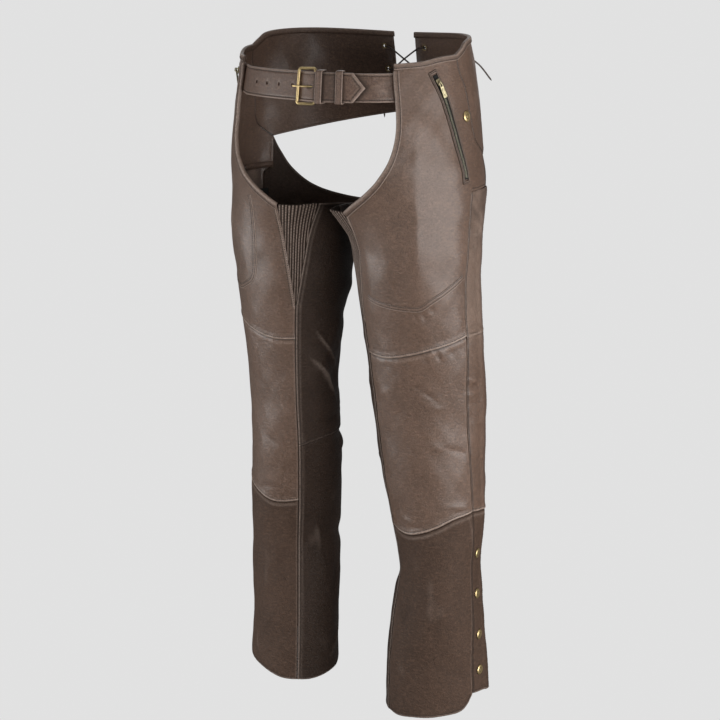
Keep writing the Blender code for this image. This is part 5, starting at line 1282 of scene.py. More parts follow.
def strip_with_painted_sheen(cells, name):
    """A strip's seams, and the painted sheen that pales it down to the knee."""
    angle, height = cells.T
    rise, wear, shade = relief(cells, name)
    wander = height / MM / 8.3 + 1.9 * np.sin(angle / 4.7 + height / MM / 13.0)
    blotches = 0.5 + 0.5 * np.sin(wander) * np.sin(0.37 * wander + angle / 7.0)
    # Painted sheen: the strip is paler above the knee, in blotches.
    paled = fall(-height, 0.34, 0.44) * (0.26 + 0.16 * blotches)
    dark = 0.6 * (1.0 - blotches) * fall(-height, 0.20, 0.26)
    return rise, np.maximum(wear, paled), np.maximum(shade, dark)


class CHAPS_OT_side_strips(bpy.types.Operator):
    """Lay the strips over the leg zips, with their snap flaps and the zips under them."""
    bl_idname = "chaps.side_strips"
    bl_label = "Side strips"

    def execute(self, context):
        cell = settings("leather").cell
        turns = np.linspace(0.0, 1.0, 401)

        def level(height, drop=0.0):
            start = strip_front([height])[0]
            return np.column_stack([start[0] + (STRIP_REAR - start[0]) * turns, height - drop * turns])
        seam = level(SEAM_SHIN[-1][1], STRIP_SEAM_DROP)
        for side in SIDES:
            for name, low, high, look, size, area in (
                    ("side_strip", seam, level(STRIP_TOP), "front_leather", (0.062, 0.510), 0.0281),
                    ("snap_flap", by_angle(HEM_STRIP, STRIP_FRONT, STRIP_REAR), seam, "shin_leather",
                     (0.055, 0.312), 0.0143)):
                first = strip_front(np.linspace(low[0, 1], high[0, 1], 401))
                last = upright(STRIP_REAR, low[-1, 1], high[-1, 1])
                grid = patch(low, high, first, last, spread(0.055, cell * 0.8),
                             spread(measured(last), cell))
                panel(side, name, [grid], look, lift=strip_lift,
                      own_relief=strip_with_painted_sheen)
            self.leg_zip(side)
            # The leather that is turned in along the strip's front and top closes those seams.
            paths, turned_in = seam_paths(), []
            for name in ("strip_front", "strip_top"):
                path = at(paths[name], np.linspace(0.01, 0.99, int(measured(paths[name]) / (4 * MM))))
                turned_in.append(ring_grid(rail(path, TURNED_SECTION, side)[0]))
            add(word(side) + "strip_turned_edge", skin(turned_in, closed=True), "binding_leather")
        return {"FINISHED"}

    def leg_zip(self, side):
        """A tape under the strip, with its teeth down the middle."""
        middle = upright(LEG_ZIP_ANGLE, -0.955, -0.190, 300)
        half = 0.5 * LEG_ZIP_WIDTH * float(metres_per_degree(LEG_ZIP_ANGLE, -0.6)) / MM
        section = [(-half, -4.4, 0, 0), (half, -4.4, 0, 0), (half, -5.4, 0, 0), (-half, -5.4, 0, 0)]
        bm = skin([ring_grid(rail(middle, section, side)[0])], closed=True)
        tape = add(word(side) + "leg_zip_tape", bm, "zip_tape")
        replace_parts(tape, word(side) + "leg_zip")
        path = place(upright(LEG_ZIP_ANGLE, -0.950, -0.195, 700), -5.7 * MM, side)
        add_teeth(word(side) + "leg_zip_teeth", path, np.array([side, 0.0, 0.0]), 2.6 * MM)


def add_teeth(name, path, facing, pitch):
    """Two rows of small teeth that mesh along a path of points."""
    along = travelled(path)
    bm = bmesh.new()
    for k, length in enumerate(np.arange(pitch, along[-1] - pitch, pitch / 2)):
        here, ahead = read_off(path, along, np.array([length, length + 0.3 * MM]))
        run = unit(ahead - here)
        out = unit(facing - run * np.dot(facing, run))
        aside = np.cross(out, run)
        middle = here + aside * (TOOTH_ASIDE if k % 2 else -TOOTH_ASIDE)
        matrix = axes_matrix(middle, aside * TOOTH_WIDTH, run * 0.4 * pitch, out * TOOTH_HEIGHT)
        bmesh.ops.create_cube(bm, size=1.0, matrix=matrix)
    add(name, bm, "zip_teeth").data.shade_flat()


# Sections of the folded bindings, the pocket's welt and the belt, in millimetres: distance over
# the leather from the edge, lift from the leather, wear and shade.
# A binding's foot, where it meets the leather, is painted dark as shade.
BINDING_SECTION = ((7, -4.1, 0, 0.3), (4, -4.2, 0.1, 0), (1, -4.2, 0.1, 0), (-0.5, -3.85, 0.2, 0),
                   (-1.3, -3, 0.2, 0), (-1.55, -1.8, 0.3, 0), (-1.5, -0.6, 0.5, 0), (-1.15, 0.6, 0.8, 0),
                   (-0.4, 1.45, 0.9, 0), (0.8, 1.85, 0.5, 0), (2.4, 1.85, 0.15, 0), (4, 1.6, 0.1, 0.1),
                   (4.8, 1.3, 0, 0.7), (5.6, 1.45, 0.3, 0.1), (6.4, 1.45, 0.8, 0), (6.9, 1.15, 0.7, 0),
                   (7.05, 0.35, 0, 1))
TURNED_SECTION = ((5, -3.7, 0, 0), (-5, -3.7, 0, 0), (-5, -3.1, 0, 0), (5, -3.1, 0, 0))
# The pocket seam's band is painted dark as shade along both its edges.
POCKET_SEAM_SECTION = ((-4.7, -0.25, 0, 1), (-4, 0.3, 0, 0.8), (-3.1, 0.75, 0.3, 0), (-2.2, 0.25, 0, 1),
                       (-1.3, 0.6, 0.1, 0), (0, 0.72, 0.2, 0), (1.3, 0.6, 0.1, 0), (2.2, 0.25, 0, 1),
                       (3, 0.8, 0.5, 0), (3.9, 0.65, 1, 0), (4.7, -0.25, 0.2, 0.9))
WELT_SECTION = (
    # share from the slot's edge to the outer edge, lift, wear, shade
    # The welt's edges, at the slot and where it meets the leather, are painted dark as shade.
    (0, 0.45, 0, 1), (0.02, 1.3, 0, 0.9), (0.09, 1.95, 0.3, 0.4), (0.24, 2.15, 0.5, 0),
    (0.36, 1.95, 0.3, 0.1), (0.44, 1.5, 0, 0.8), (0.5, 1.3, 0, 1), (0.57, 1.5, 0, 0.8),
    (0.66, 1.7, 0.2, 0.1), (0.82, 1.6, 0.4, 0), (0.91, 1.2, 0, 0.9), (1, 0.35, 0, 1), (0.5, 0.38, 0, 0))


class CHAPS_OT_seams(bpy.types.Operator):
    """Sew the pocket bags to the thighs."""
    bl_idname = "chaps.seams"
    bl_label = "Pocket seams"

    def execute(self, context):
        for side in SIDES:
            middle = moved_aside(curve(POCKET_BAG[side], 150), BAG_SEAM_MIDDLE)
            grid, marks = rail(middle, POCKET_SEAM_SECTION, side, depth=pocket_depth(side, 151))
            band = add(word(side) + "pocket_seam", skin([grid], marks, flip=side < 0), "front_leather")
            walled(band, 0.6 * MM)
        return {"FINISHED"}


def pocket_depth(side, count):
    """The near pocket's seam stands up less where the leather is stretched over the thigh."""
    share = np.linspace(0.0, 1.0, count)
    return 1.0 - 0.40 * bump(share, 0.42, 0.16) * (side > 0)


class CHAPS_OT_bindings(bpy.types.Operator):
    """Fold the bindings over the front cut-out and the waist."""
    bl_idname = "chaps.bindings"
    bl_label = "Edge bindings"

    def execute(self, context):
        # The two meet at the top corner, where the cut-out's binding is cut back.
        cutout = at(curve(CUTOUT_EDGE, 400), np.linspace(0.0, 1.0 - 0.55 / 16, 170))
        waist = joined(curve(WAIST_FRONT, 80), curve(WAIST_BACK, 100))
        for side in SIDES:
            for name, path, size in (("cutout_binding", cutout, (0.0235, 0.251)),
                                     ("waist_binding", waist, (0.0235, 0.353))):
                grid, marks = rail(path, BINDING_SECTION, side, wave=0.14)
                made = add(word(side) + name + "_leather", skin([grid], marks, flip=side < 0),
                           "binding_leather")
                walled(made, 1.2 * MM)
                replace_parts(made, word(side) + name)
        return {"FINISHED"}


def on_zip(share, aside):
    """Angle and height at shares of the pocket zip's length and distances to its outer side."""
    line = curve(ZIP_LINE, 40)
    share, aside = np.broadcast_arrays(np.asarray(share, float), np.asarray(aside, float))
    within = np.clip(share, 0.0, 1.0)
    near, far = np.maximum(within - 0.02, 0.0), np.minimum(within + 0.02, 1.0)
    here, behind, ahead = (at(line, shares) for shares in (within, near, far))
    scale = metres_per_degree(here[..., 0], here[..., 1])
    here = here + (ahead - behind) * ((share - within) / (far - near))[..., None]
    run = unit((ahead - behind) * np.stack([scale, np.ones_like(scale)], -1))
    return here + np.stack([-run[..., 1] / scale, run[..., 0]], -1) * aside[..., None]


class CHAPS_OT_pockets(bpy.types.Operator):
    """Set the zips, welts, sliders and pull tabs of the hip pockets."""
    bl_idname = "chaps.pockets"
    bl_label = "Hip pockets"

    def execute(self, context):
        for side in SIDES:
            self.tape(side)
            self.welt(side)
            self.slider(side)
        return {"FINISHED"}

    def tape(self, side):
        half = ZIP_SLOT / 2 - CLEAR
        section = np.array([(-half, CLEAR), (half, CLEAR), (half, CLEAR + 1.0 * MM),
                            (-half, CLEAR + 1.0 * MM)])
        cells = on_zip(np.linspace(0, 1, 80)[:, None], section[None, :, 0])
        bm = skin([ring_grid(place(cells, section[:, 1], side))], closed=True)
        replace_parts(add(word(side) + "pocket_zip_tape", bm, "zip_tape"), word(side) + "pocket_zip")
        # The teeth lie to the front of the slot, which leaves a gap behind them, dark with the tape that is
        # painted near-black as shade.
        path = place(on_zip(np.linspace(0.10, 1.0, 200), -0.9 * MM), 1.75 * MM, side)
        out = outward(*on_zip(0.5, 0.0), side) * mirror(side)
        add_teeth(word(side) + "pocket_zip_teeth", path, out, settings("metal").tooth)

    def welt(self, side):
        """One frame of folded leather, down one side of the zip and back up the other."""
        inner, outer, stations = ZIP_SLOT / 2, ZIP_WIDTH / 2, []
        corner = [(0.018, 1.0), (0.028, 0.9), (0.032, 0.72), (0.032, 0.35), (0.032, 0.0)]
        for turn, end in ((1, 1.012), (-1, -0.012)):
            stations += [((share, turn * inner), (share, turn * outer))
                         for share in np.linspace(-0.012, 1.012, 90)[::turn]]
            stations += [((end, turn * inner * np.clip(wide * 1.3, -1, 1)),
                          (end + turn * out, turn * outer * wide))
                         for out, wide in corner + [(out, -wide) for out, wide in corner[-2::-1]]]
        near, far = np.moveaxis(np.array(stations), 1, 0)
        section = np.array(WELT_SECTION)
        spots = near[:, None] + (far - near)[:, None] * section[None, :, :1]
        cells = on_zip(spots[..., 0], spots[..., 1])
        bm = loop_skin(place(cells, section[:, 1] * MM, side), section)
        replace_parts(add(word(side) + "pocket_welt_leather", bm, "binding_leather"),
                    word(side) + "pocket_welt")

    def slider(self, side):
        def framed(*origin_and_axes):
            return axes_matrix(*(vector * mirror(side) for vector in origin_and_axes))
        here, below = on_zip(SLIDER_AT, 0.0), on_zip(SLIDER_AT + 0.05, 0.0)
        foot, out = worn(*here, 0), outward(*here, 0)
        down = worn(*below, 0) - foot
        down = unit(down - out * np.dot(down, out))
        across = np.cross(out, down)
        half, wing = SLIDER_LENGTH / 2, SLIDER_WIDTH / 2
        base, top = SLIDER_LIFT
        # The body is wider where the two rows of teeth come in.
        outline = both([(-half, wing * 0.95), (-half * 0.2, wing), (half, wing * 0.70)])
        body = add(word(side) + "slider_body", plate(outline, base, top, framed(foot, down, across, out)),
                   "slider_brass")
        soften(body, 0.7 * MM, 3)
        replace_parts(body, word(side) + "zip_slider")
        roof = PIVOT_LIFT + PIN / 2 + 0.5 * MM
        reach, leg = 3.1 * MM, 1.3 * MM
        foot_level, crown = top - 0.5 * MM, roof + leg
        arch = [(-reach, foot_level), (-reach, crown - MM), (-reach + MM, crown), (reach - MM, crown),
                (reach, crown - MM), (reach, foot_level), (reach - leg, foot_level),
                (reach - leg, roof), (-reach + leg, roof), (-reach + leg, foot_level)]
        bridge = add(word(side) + "slider_bridge",
                     plate(arch, -BRIDGE_WIDTH / 2, BRIDGE_WIDTH / 2, framed(foot, down, out, across)),
                     "slider_brass")
        soften(bridge, 0.35 * MM)
        # The tab hangs from its pin under the bridge.
        hang = unit(np.array([0.0, 0.0, -1.0]) + across * across[2])
        face = np.cross(across, hang)
        face = face if np.dot(face, out) > 0 else -face
        matrix = framed(foot + out * PIVOT_LIFT, hang, across, face)
        width, pin = TAB_WIDTH / 2, PIN / 2
        outline = both([(-pin, width * 0.62), (4.5 * MM, width * 0.75), (TAB_LENGTH * 0.55, width * 0.8),
                        (TAB_LENGTH - 3.0 * MM, width), (TAB_LENGTH - 1.0 * MM, width * 0.86),
                        (TAB_LENGTH, width * 0.5)])
        tab = add(word(side) + "pull_tab_brass",
                  plate(outline, -TAB_THICKNESS / 2, TAB_THICKNESS / 2, matrix), "slider_brass",
                  body="pull_" + word(side)[:-1])
        gap = BRIDGE_WIDTH / 2 + 0.45 * MM
        window = both([(pin, gap), (6.2 * MM, gap)])
        dip = both([(9.5 * MM, width * 0.40), (TAB_LENGTH - 4.0 * MM, width * 0.55)])
        cut_holes(tab, plate(window, -4.0 * MM, 4.0 * MM, matrix),
                  plate(dip, TAB_THICKNESS / 2 - 0.25 * MM, 4.0 * MM, matrix))
        soften(tab, 0.22 * MM)
        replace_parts(tab, word(side) + "pull_tab")


# Turned brass: radius, rise from the leather and shade, the first two in millimetres.
SNAP_PROFILE = ((0, 2.3, 0), (1, 2.27, 0), (2, 2.12, 0.1), (2.7, 1.95, 0.5), (3.1, 1.93, 0.5),
                (3.7, 2.1, 0), (4.6, 2.15, 0), (5.5, 1.95, 0), (6.3, 1.55, 0), (6.9, 1.05, 0),
                (7.25, 0.5, 0.4), (7.1, 0.1, 0.9), (6.6, 0, 1), (0, 0, 1))
EYELET_PROFILE = ((2.8, -2.6, 0.8), (2.8, 0.2, 0.5), (2.9, 0.85, 0), (3.3, 1.25, 0), (3.9, 1.35, 0),
                  (4.6, 1.15, 0), (5.2, 0.75, 0.1), (5.5, 0.35, 0.6), (5.2, 0.32, 1), (3.2, 0.32, 1),
                  (3.2, -2.4, 0.8), (4.6, -2.45, 0.4), (4.6, -2.7, 0.2), (2.8, -2.6, 0.8))


class CHAPS_OT_snaps(bpy.types.Operator):
    """Set the snaps on the hips and down the flaps."""
    bl_idname = "chaps.snaps"
    bl_label = "Snaps"

    def execute(self, context):
        sides = settings("metal").turned
        for side in SIDES:
            spots = [("hip_snap", *HIP_SNAP)]
            spots += [("leg_snap_%d" % (n + 1), LEG_SNAP_ANGLE, h) for n, h in enumerate(SNAP_HEIGHTS)]
            for name, angle, height in spots:
                matrix = (frame_at(angle, height, side) @ Matrix.Translation((0, 0, CLEAR))
                          @ Matrix.Scale(SNAP_SCALE, 4))
                made = add(word(side) + name + "_cap", turned(SNAP_PROFILE, matrix, sides), "brass")
                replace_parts(made, word(side) + name)
        return {"FINISHED"}


# ---- the belt
def belt_point(distance, height, lift):
    """Points of the belt, from the distance round the body, the height and the lift."""
    distance, height, lift = np.broadcast_arrays(distance, height, lift)
    half_width, half_depth = column(HIP_SECTIONS, 0.0)
    turns = np.radians(np.linspace(-90, 90, 721))
    along = summed(np.hypot(np.diff(half_width * np.sin(turns)), np.diff(half_depth * np.cos(turns))))
    turn = np.interp(distance, along - np.interp(0.0, turns, along), turns)
    half_width, half_depth = np.moveaxis(column(HIP_SECTIONS, height), -1, 0)
    foot = np.stack([half_width * np.sin(turn), -half_depth * np.cos(turn), height], -1)
    out = np.stack([np.sin(turn) / half_width, -np.cos(turn) / half_depth, np.zeros_like(turn)], -1)
    return foot + unit(out) * lift[..., None]


def fine_path(points, spacing):
    """A smooth path through (distance, lift) points, with a point about every spacing."""
    fine = smooth_line(points, 12)
    along = travelled(fine)
    stops = np.linspace(0.0, along[-1], max(int(round(along[-1] / spacing)), 2) + 1)
    return read_off(fine, along, stops)


STRAP_STEP = 1.7 * MM           # from one station of a strap to the next
KEEPER_SECTION = (
    # along the belt, out from the loop, wear and shade
    (-5.25, 0, 0.8, 0), (-5.05, 0.62, 0.9, 0), (-4.4, 0.98, 0.4, 0), (-3.6, 0.95, 0.1, 0),
    (-3.1, 0.70, 0, 0.7), (-2.5, 0.95, 0.1, 0), (0, 1.08, 0.1, 0), (2.5, 0.95, 0.1, 0),
    (3.1, 0.70, 0, 0.7), (3.6, 0.95, 0.1, 0), (4.4, 0.98, 0.4, 0), (5.05, 0.62, 0.9, 0),
    (5.25, 0, 0.8, 0), (4.9, -0.85, 0.2, 0), (4.0, -1.0, 0, 0), (-4.0, -1.0, 0, 0), (-4.9, -0.85, 0.2, 0))

# Creases of the belt: distance and height at each end, half width, rise (the last two in mm).
BELT_CREASES = ((0.111, 0.0035, 0.128, 0.0165, 1.6, -0.55), (0.11, -0.004, 0.125, -0.016, 1.6, -0.5),
                (0.112, 0.001, 0.14, 0.008, 2.2, 0.45), (0.113, -0.001, 0.148, -0.006, 2.4, 0.4),
                (0.133, 0.018, 0.141, -0.015, 2.6, -0.45), (0.1, 0.019, 0.108, 0.012, 2, -0.35),
                (0.047, 0.015, 0.056, -0.013, 2.4, -0.3), (-0.096, 0.016, -0.09, -0.014, 3, -0.3),
                (-0.048, 0.012, -0.044, -0.015, 3.4, 0.25), (-0.118, 0.018, -0.109, -0.018, 3, -0.45))


def inside_point(s, z, half):
    """How far a place on the right strap lies inside the slanting edges of its pointed end."""
    slope = STRAP_TIP - STRAP_SHOULDER
    return ((STRAP_TIP - s) * half - np.abs(z) * slope) / math.hypot(half, slope)


def strap(name, path, half, side, tip=False):
    """A strap with rolled edges and a stitched groove along a (distance, lift) path.

    side turns its outer face to the path's left or right. tip says whether it ends in a point.
    """
    run = unit(np.gradient(path, axis=0))
    normal = np.column_stack([-run[:, 1], run[:, 0]]) * side
    s = path[:, :1]
    reach = np.full(len(path), half)
    if tip:
        reach = half * np.clip((STRAP_TIP - path[:, 0]) / (STRAP_TIP - STRAP_SHOULDER), 0.04, 1.0)
    edge = np.array([0, 0.25, 0.7, 1.3, 1.9, 2.5, 3.0, 3.5, 4.0, 4.8, 6.2, 8.0, 10.5, 13.5, 17.0]) * MM
    front = np.concatenate([-1 + edge / half, [0.0], (1 - edge / half)[::-1]])
    back = 1 - 2 * np.array([0.012, 0.04, 0.12, 0.3, 0.5, 0.7, 0.88, 0.96, 0.988])
    across = np.concatenate([front, back])
    z = across[None] * reach[:, None]
    inside = half - np.abs(z)
    if tip:
        inside = np.minimum(inside, inside_point(s, z, half))
    d = np.maximum(inside, 0.0) / MM
    rolled = STRAP / 2 / MM * np.sqrt(np.clip(1.0 - (1.0 - np.minimum(d / 1.0, 1.0)) ** 2, 0, 1))
    outer = np.arange(len(across)) < len(front)
    rise = rolled + 0.35 * bump(d, 1.9, 1.1) - 0.55 * bump(d, 3.8, 0.7)
    wear = 0.85 * bump(d, 0.6, 0.7) + 0.35 * bump(d, 1.9, 0.9)
    shade = 0.75 * bump(d, 3.6, 0.6)
    if tip:
        # The pointed end has a wide raised border, with its stitches in a groove inside that.
        near = fall(-s, -STRAP_SHOULDER, 0.004 - STRAP_SHOULDER)
        rise = rise + near * (0.55 * bump(d, 3.2, 2.6) - 0.7 * bump(d, TIP_BORDER, 0.9))
        wear = wear + near * (0.45 * bump(d, 3.0, 1.6) + 0.35 * bump(d, 7.2, 0.9))
        shade = (1.0 - near) * shade + near * bump(d, TIP_BORDER, 0.9)
    # Painted shade on the strap beside each keeper.
    for middle, _, _ in KEEPERS:
        beside = np.maximum(np.abs(s - middle) / MM - 5.2, 0.0)
        near = np.exp(-(beside / 3.0) ** 2) if tip else np.exp(-(beside / 4.5) ** 2)
        shade = shade + 0.75 * near
    # Painted shade on the right strap between the keepers; on the left strap, the painted shadow that the
    # right strap's point casts.
    if tip:
        shade = shade + 0.30 * fall(np.abs(s - 0.0528), 0.009, 0.012)
    else:
        taper = inside_point(s, z, half)
        beyond = np.maximum(-np.minimum(half - np.abs(z), taper) / MM, 0.0)
        shade = shade + 0.95 * np.exp(-(beyond / 5.0) ** 2) * (s > 0.080)
    # Crease troughs are painted darker as shade and crests paler as highlight.
    for s1, z1, s2, z2, half_width, size in BELT_CREASES:
        bend = crease(s - (s1 + s2) / 2, z - (z1 + z2) / 2, np.array([s2 - s1, z2 - z1]), half_width, size)
        rise = rise + bend * fall(-d, -2.0, -0.5)
        shade, wear = shade + 0.7 * np.maximum(-bend, 0), wear + 0.6 * np.maximum(bend, 0)
    # Each hole is painted dark inside as shade.
    for hole in STRAP_HOLES:
        away = np.hypot(s - hole, z) / MM
        rise = rise - 0.45 * bump(away, 2.0, 1.4)
        shade, wear = np.maximum(shade, fall(away, 2.5, 3.1)), wear + 0.5 * bump(away, 3.8, 0.7)
    rise = np.where(outer[None], rise, -rolled) * MM
    spots = path[:, None] + normal[:, None] * rise[..., None]
    grid = ring_grid(belt_point(spots[..., 0], z, spots[..., 1]))
    marks = {"wear": [ring_grid(np.where(outer[None], np.clip(wear, 0, 1), 0.0))],
             "shade": [ring_grid(np.clip(shade, 0, 1))]}
    made = add(name + "_leather", skin([grid], marks, closed=True), "belt_leather")
    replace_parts(made, name)
    return made


class CHAPS_OT_belt(bpy.types.Operator):
    """Lay the two straps and the keepers."""
    bl_idname = "chaps.belt"
    bl_label = "Belt"

    def execute(self, context):
        right = strap("belt_right_strap", fine_path(RIGHT_STRAP_PATH, STRAP_STEP), BELT_WIDTH / 2, 1.0,
                      tip=True)
        path = np.array(RIGHT_STRAP_PATH)
        tools = []
        for distance in STRAP_HOLES:
            lift = float(np.interp(distance, path[:, 0], path[:, 1]))
            ends = [Vector(belt_point(distance, 0.0, lift + off)) for off in (-4 * MM, 4 * MM)]
            turn = (ends[1] - ends[0]).to_track_quat("Z", "Y").to_matrix().to_4x4()
            tools.append(bmesh.new())
            bmesh.ops.create_cone(tools[-1], segments=20, cap_ends=True, radius1=HOLE_DIAMETER * 0.55,
                                  radius2=HOLE_DIAMETER * 0.55, depth=(ends[1] - ends[0]).length,
                                  matrix=Matrix.Translation((ends[0] + ends[1]) / 2) @ turn)
        middle, length, height = PRONG_SLOT
        tools.append(self.slot(middle - length / 2, middle + length / 2, height, (-0.004, 0.011)))
        cut_holes(right, *tools)
        # The left strap folds round the buckle's rod and back under itself.
        loop = BUCKLE_ROD / 2 + CLEAR + STRAP / 2
        bend = [(HINGE + loop * math.sin(turn), HINGE_LIFT + loop * math.cos(turn))
                for turn in np.radians(np.linspace(0, -180, 19))]
        rear = [(HINGE + 0.0090, -0.0052), (HINGE + 0.0180, -0.0045), (FOLD_END, -0.0045)]
        path = np.vstack([fine_path(LEFT_STRAP_PATH, STRAP_STEP)[:-1], bend,
                          fine_path([bend[-1]] + rear, 2.5 * MM)[1:]])
        left = strap("belt_left_strap", path, LEFT_STRAP_WIDTH / 2, -1.0)
        cut_holes(left, self.slot(HINGE - 0.0062, HINGE + 0.0085, 0.0052, (-0.012, 0.004)))
        for n, keeper in enumerate(KEEPERS):
            self.keeper(n + 1, *keeper)
        return {"FINISHED"}

    def slot(self, first, last, height, lifts):
        """A block that cuts a slot through a strap."""
        ring = [(first, -height / 2), (last, -height / 2), (last, height / 2), (first, height / 2)]
        grid = np.array([[belt_point(s, z, lift) for s, z in ring] for lift in lifts])
        return skin([ring_grid(grid)], closed=True)

    def keeper(self, n, middle, low, high):
        """A loop of leather round both straps."""
        half, wall = BELT_WIDTH / 2 + 0.75 * MM, KEEPER_LEATHER / 2
        loop = rounded_loop(2 * (half + 0.8 * wall), high - low + 2 * wall, 2.2 * MM, 8, (30, 6))
        z, lift = loop[:, 0], loop[:, 1] + (low + high) / 2
        run = loop_direction(loop)
        out = np.column_stack([run[:, 1], -run[:, 0]])
        out *= np.sign(np.sum(out * loop, axis=1).mean())
        section = np.array(KEEPER_SECTION)
        u, v = section[None, :, 0] * MM, section[None, :, 1] * MM
        rings = belt_point(middle + u, z[:, None] + out[:, :1] * v, lift[:, None] + out[:, 1:] * v)
        made = add("belt_keeper_%d_leather" % n, loop_skin(rings, section), "belt_leather")
        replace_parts(made, "belt_keeper_%d" % n)


def rounded_loop(width, height, radius, corner, straight):
    """Points round a rectangle with round corners, about its middle."""
    x, y = width / 2 - radius, height / 2 - radius
    loop = []
    for k, (cx, cy) in enumerate(((x, y), (-x, y), (-x, -y), (x, -y))):
        turns = math.radians(90 * k) + np.linspace(0, math.pi / 2, corner)
        loop += [(cx + radius * math.cos(t), cy + radius * math.sin(t)) for t in turns]
        nx, ny = ((-x, y), (-x, -y), (x, -y), (x, y))[k]
        end, start = loop[-1], (nx + radius * math.cos(turns[-1]), ny + radius * math.sin(turns[-1]))
        count = straight[k % 2]
        loop += [tuple(np.array(end) + (np.array(start) - np.array(end)) * t)
                 for t in np.linspace(0, 1, count + 1)[1:-1]]
    return np.array(loop)


class CHAPS_OT_buckle(bpy.types.Operator):
    """Bend the buckle's frame and prong."""
    bl_idname = "chaps.buckle"
    bl_label = "Buckle"

    def execute(self, context):
        length = HINGE - FAR_ROD
        loop = rounded_loop(length, BUCKLE_OUTER_HEIGHT - BUCKLE_ROD, 3.6 * MM, 9, (10, 22))
        share = loop[:, 0] / length + 0.5
        centres = belt_point(FAR_ROD + share * length, loop[:, 1],
                             FAR_ROD_LIFT + share * (HINGE_LIFT - FAR_ROD_LIFT))
        flat = np.linalg.svd(centres - centres.mean(axis=0))[2][2]
        aside = unit(np.cross(loop_direction(centres), flat))
        turns = 2 * math.pi * np.arange(24) / 24
        rod = BUCKLE_ROD / 2
        rings = (centres[:, None] + aside[:, None] * (rod * np.cos(turns))[None, :, None]
                 + flat[None, None] * (rod * np.sin(turns))[None, :, None])
        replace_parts(add("buckle_frame_brass", loop_skin(rings), "brass"), "buckle_frame")

        bow = BUCKLE_ROD / 2 + CLEAR + PRONG / 2
        path = [(HINGE + bow * math.sin(turn), HINGE_LIFT + bow * math.cos(turn))
                for turn in np.radians([-150, -180, -215, -250, -285, -325])]
        rest = FAR_ROD_LIFT + BUCKLE_ROD / 2 + CLEAR + PRONG / 2
        path += [(0.0262, 0.0023), (0.0224, 0.0045), (0.0170, 0.0062), (0.0105, rest - 0.1 * MM),
                 (0.0045, rest), (0.0010, rest), (PRONG_TIP + 0.002, rest - 0.7 * MM),
                 (PRONG_TIP, rest - 1.3 * MM)]
        fine = fine_path(path, 0.6 * MM)
        centres = belt_point(fine[:, 0], 0.0, fine[:, 1])
        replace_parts(add("buckle_prong_brass", tube(centres, PRONG / 2, 18), "brass"), "buckle_prong")
        return {"FINISHED"}


# ---- the lacing
LEFT_LACE_END = ((0.086, 0.262, -0.020), (0.073, 0.239, 0.008), (0.054, 0.204, 0.029))
RIGHT_LACE_END = ((-0.048, 0.150, 0.025), (-0.056, 0.158, -0.005), (-0.060, 0.165, -0.040),
                  (-0.061, 0.172, -0.080))


def lace_knots():
    """Waypoints of the back lace, from one free end to the other."""
    def by_eyelet(side, n, lift, inward=0.0):
        spot = EYELET_ANGLE + inward, EYELET_HEIGHTS[n]
        return (worn(*spot, 0) + outward(*spot, 0) * lift) * mirror(side)

    def between(height, lift):
        """On the middle plane, behind the wearer's back."""
        return np.array([0.0, column(HIP_SECTIONS, height)[1] + lift, height])

    def through(side, n, outwards, lean=1.0):
        """Through one eyelet, to the outside or back to the inside."""
        steps = [(2.6, -5.4 * MM), (1.10, -5.2 * MM), (0.0, -0.4 * MM), (1.10 * lean, 4.6 * MM),
                 (2.6 * lean, 4.8 * MM)]
        return [by_eyelet(side, n, lift, inward) for inward, lift in (steps if outwards else steps[::-1])]

    stops = [*LEFT_LACE_END]
    stops += through(1, 0, False, -0.4)[1:] + [between(0.0200, -5.8 * MM)]
    stops += through(-1, 1, True) + [between(-0.0160, 5.8 * MM)]
    stops += through(1, 2, False) + [between(-0.0345, -6.0 * MM)]
    stops += through(-1, 2, True) + [between(-0.0160, 10.2 * MM)]
    stops += through(1, 1, False) + [between(0.0200, -10.4 * MM)]
    stops += through(-1, 0, True, -0.4)[:-1]
    return np.array(stops + [*RIGHT_LACE_END])


def lace_path(knots, spacing):
    """A smooth path through the knots, with points closer together where it turns."""
    def mix(first, second, start, end):
        return (end - t) / (end - start) * first + (t - start) / (end - start) * second
    ends = np.vstack([2 * knots[0] - knots[1], knots, 2 * knots[-1] - knots[-2]])
    fine = []
    for p0, p1, p2, p3 in zip(ends, ends[1:], ends[2:], ends[3:]):
        # Centripetal spacing keeps the tight turns through the eyelets from looping.
        t0, t1, t2, t3 = summed([np.linalg.norm(step) ** 0.5 for step in (p1 - p0, p2 - p1, p3 - p2)])
        for t in np.linspace(t1, t2, 12, endpoint=False):
            a1, a2, a3 = mix(p0, p1, t0, t1), mix(p1, p2, t1, t2), mix(p2, p3, t2, t3)
            fine.append(mix(mix(a1, a2, t0, t2), mix(a2, a3, t1, t3), t1, t2))
    fine = np.vstack([fine, knots[-1]])
    steps = np.diff(fine, axis=0)
    aim = unit(steps)
    turn = np.degrees(np.arccos(np.clip(np.sum(aim[1:] * aim[:-1], axis=1), -1, 1)))
    along = summed(np.linalg.norm(steps, axis=1) / spacing + np.append(turn, 0.0) / 12.0)
    return read_off(fine, along, np.linspace(0.0, along[-1], 1 + int(round(along[-1]))))


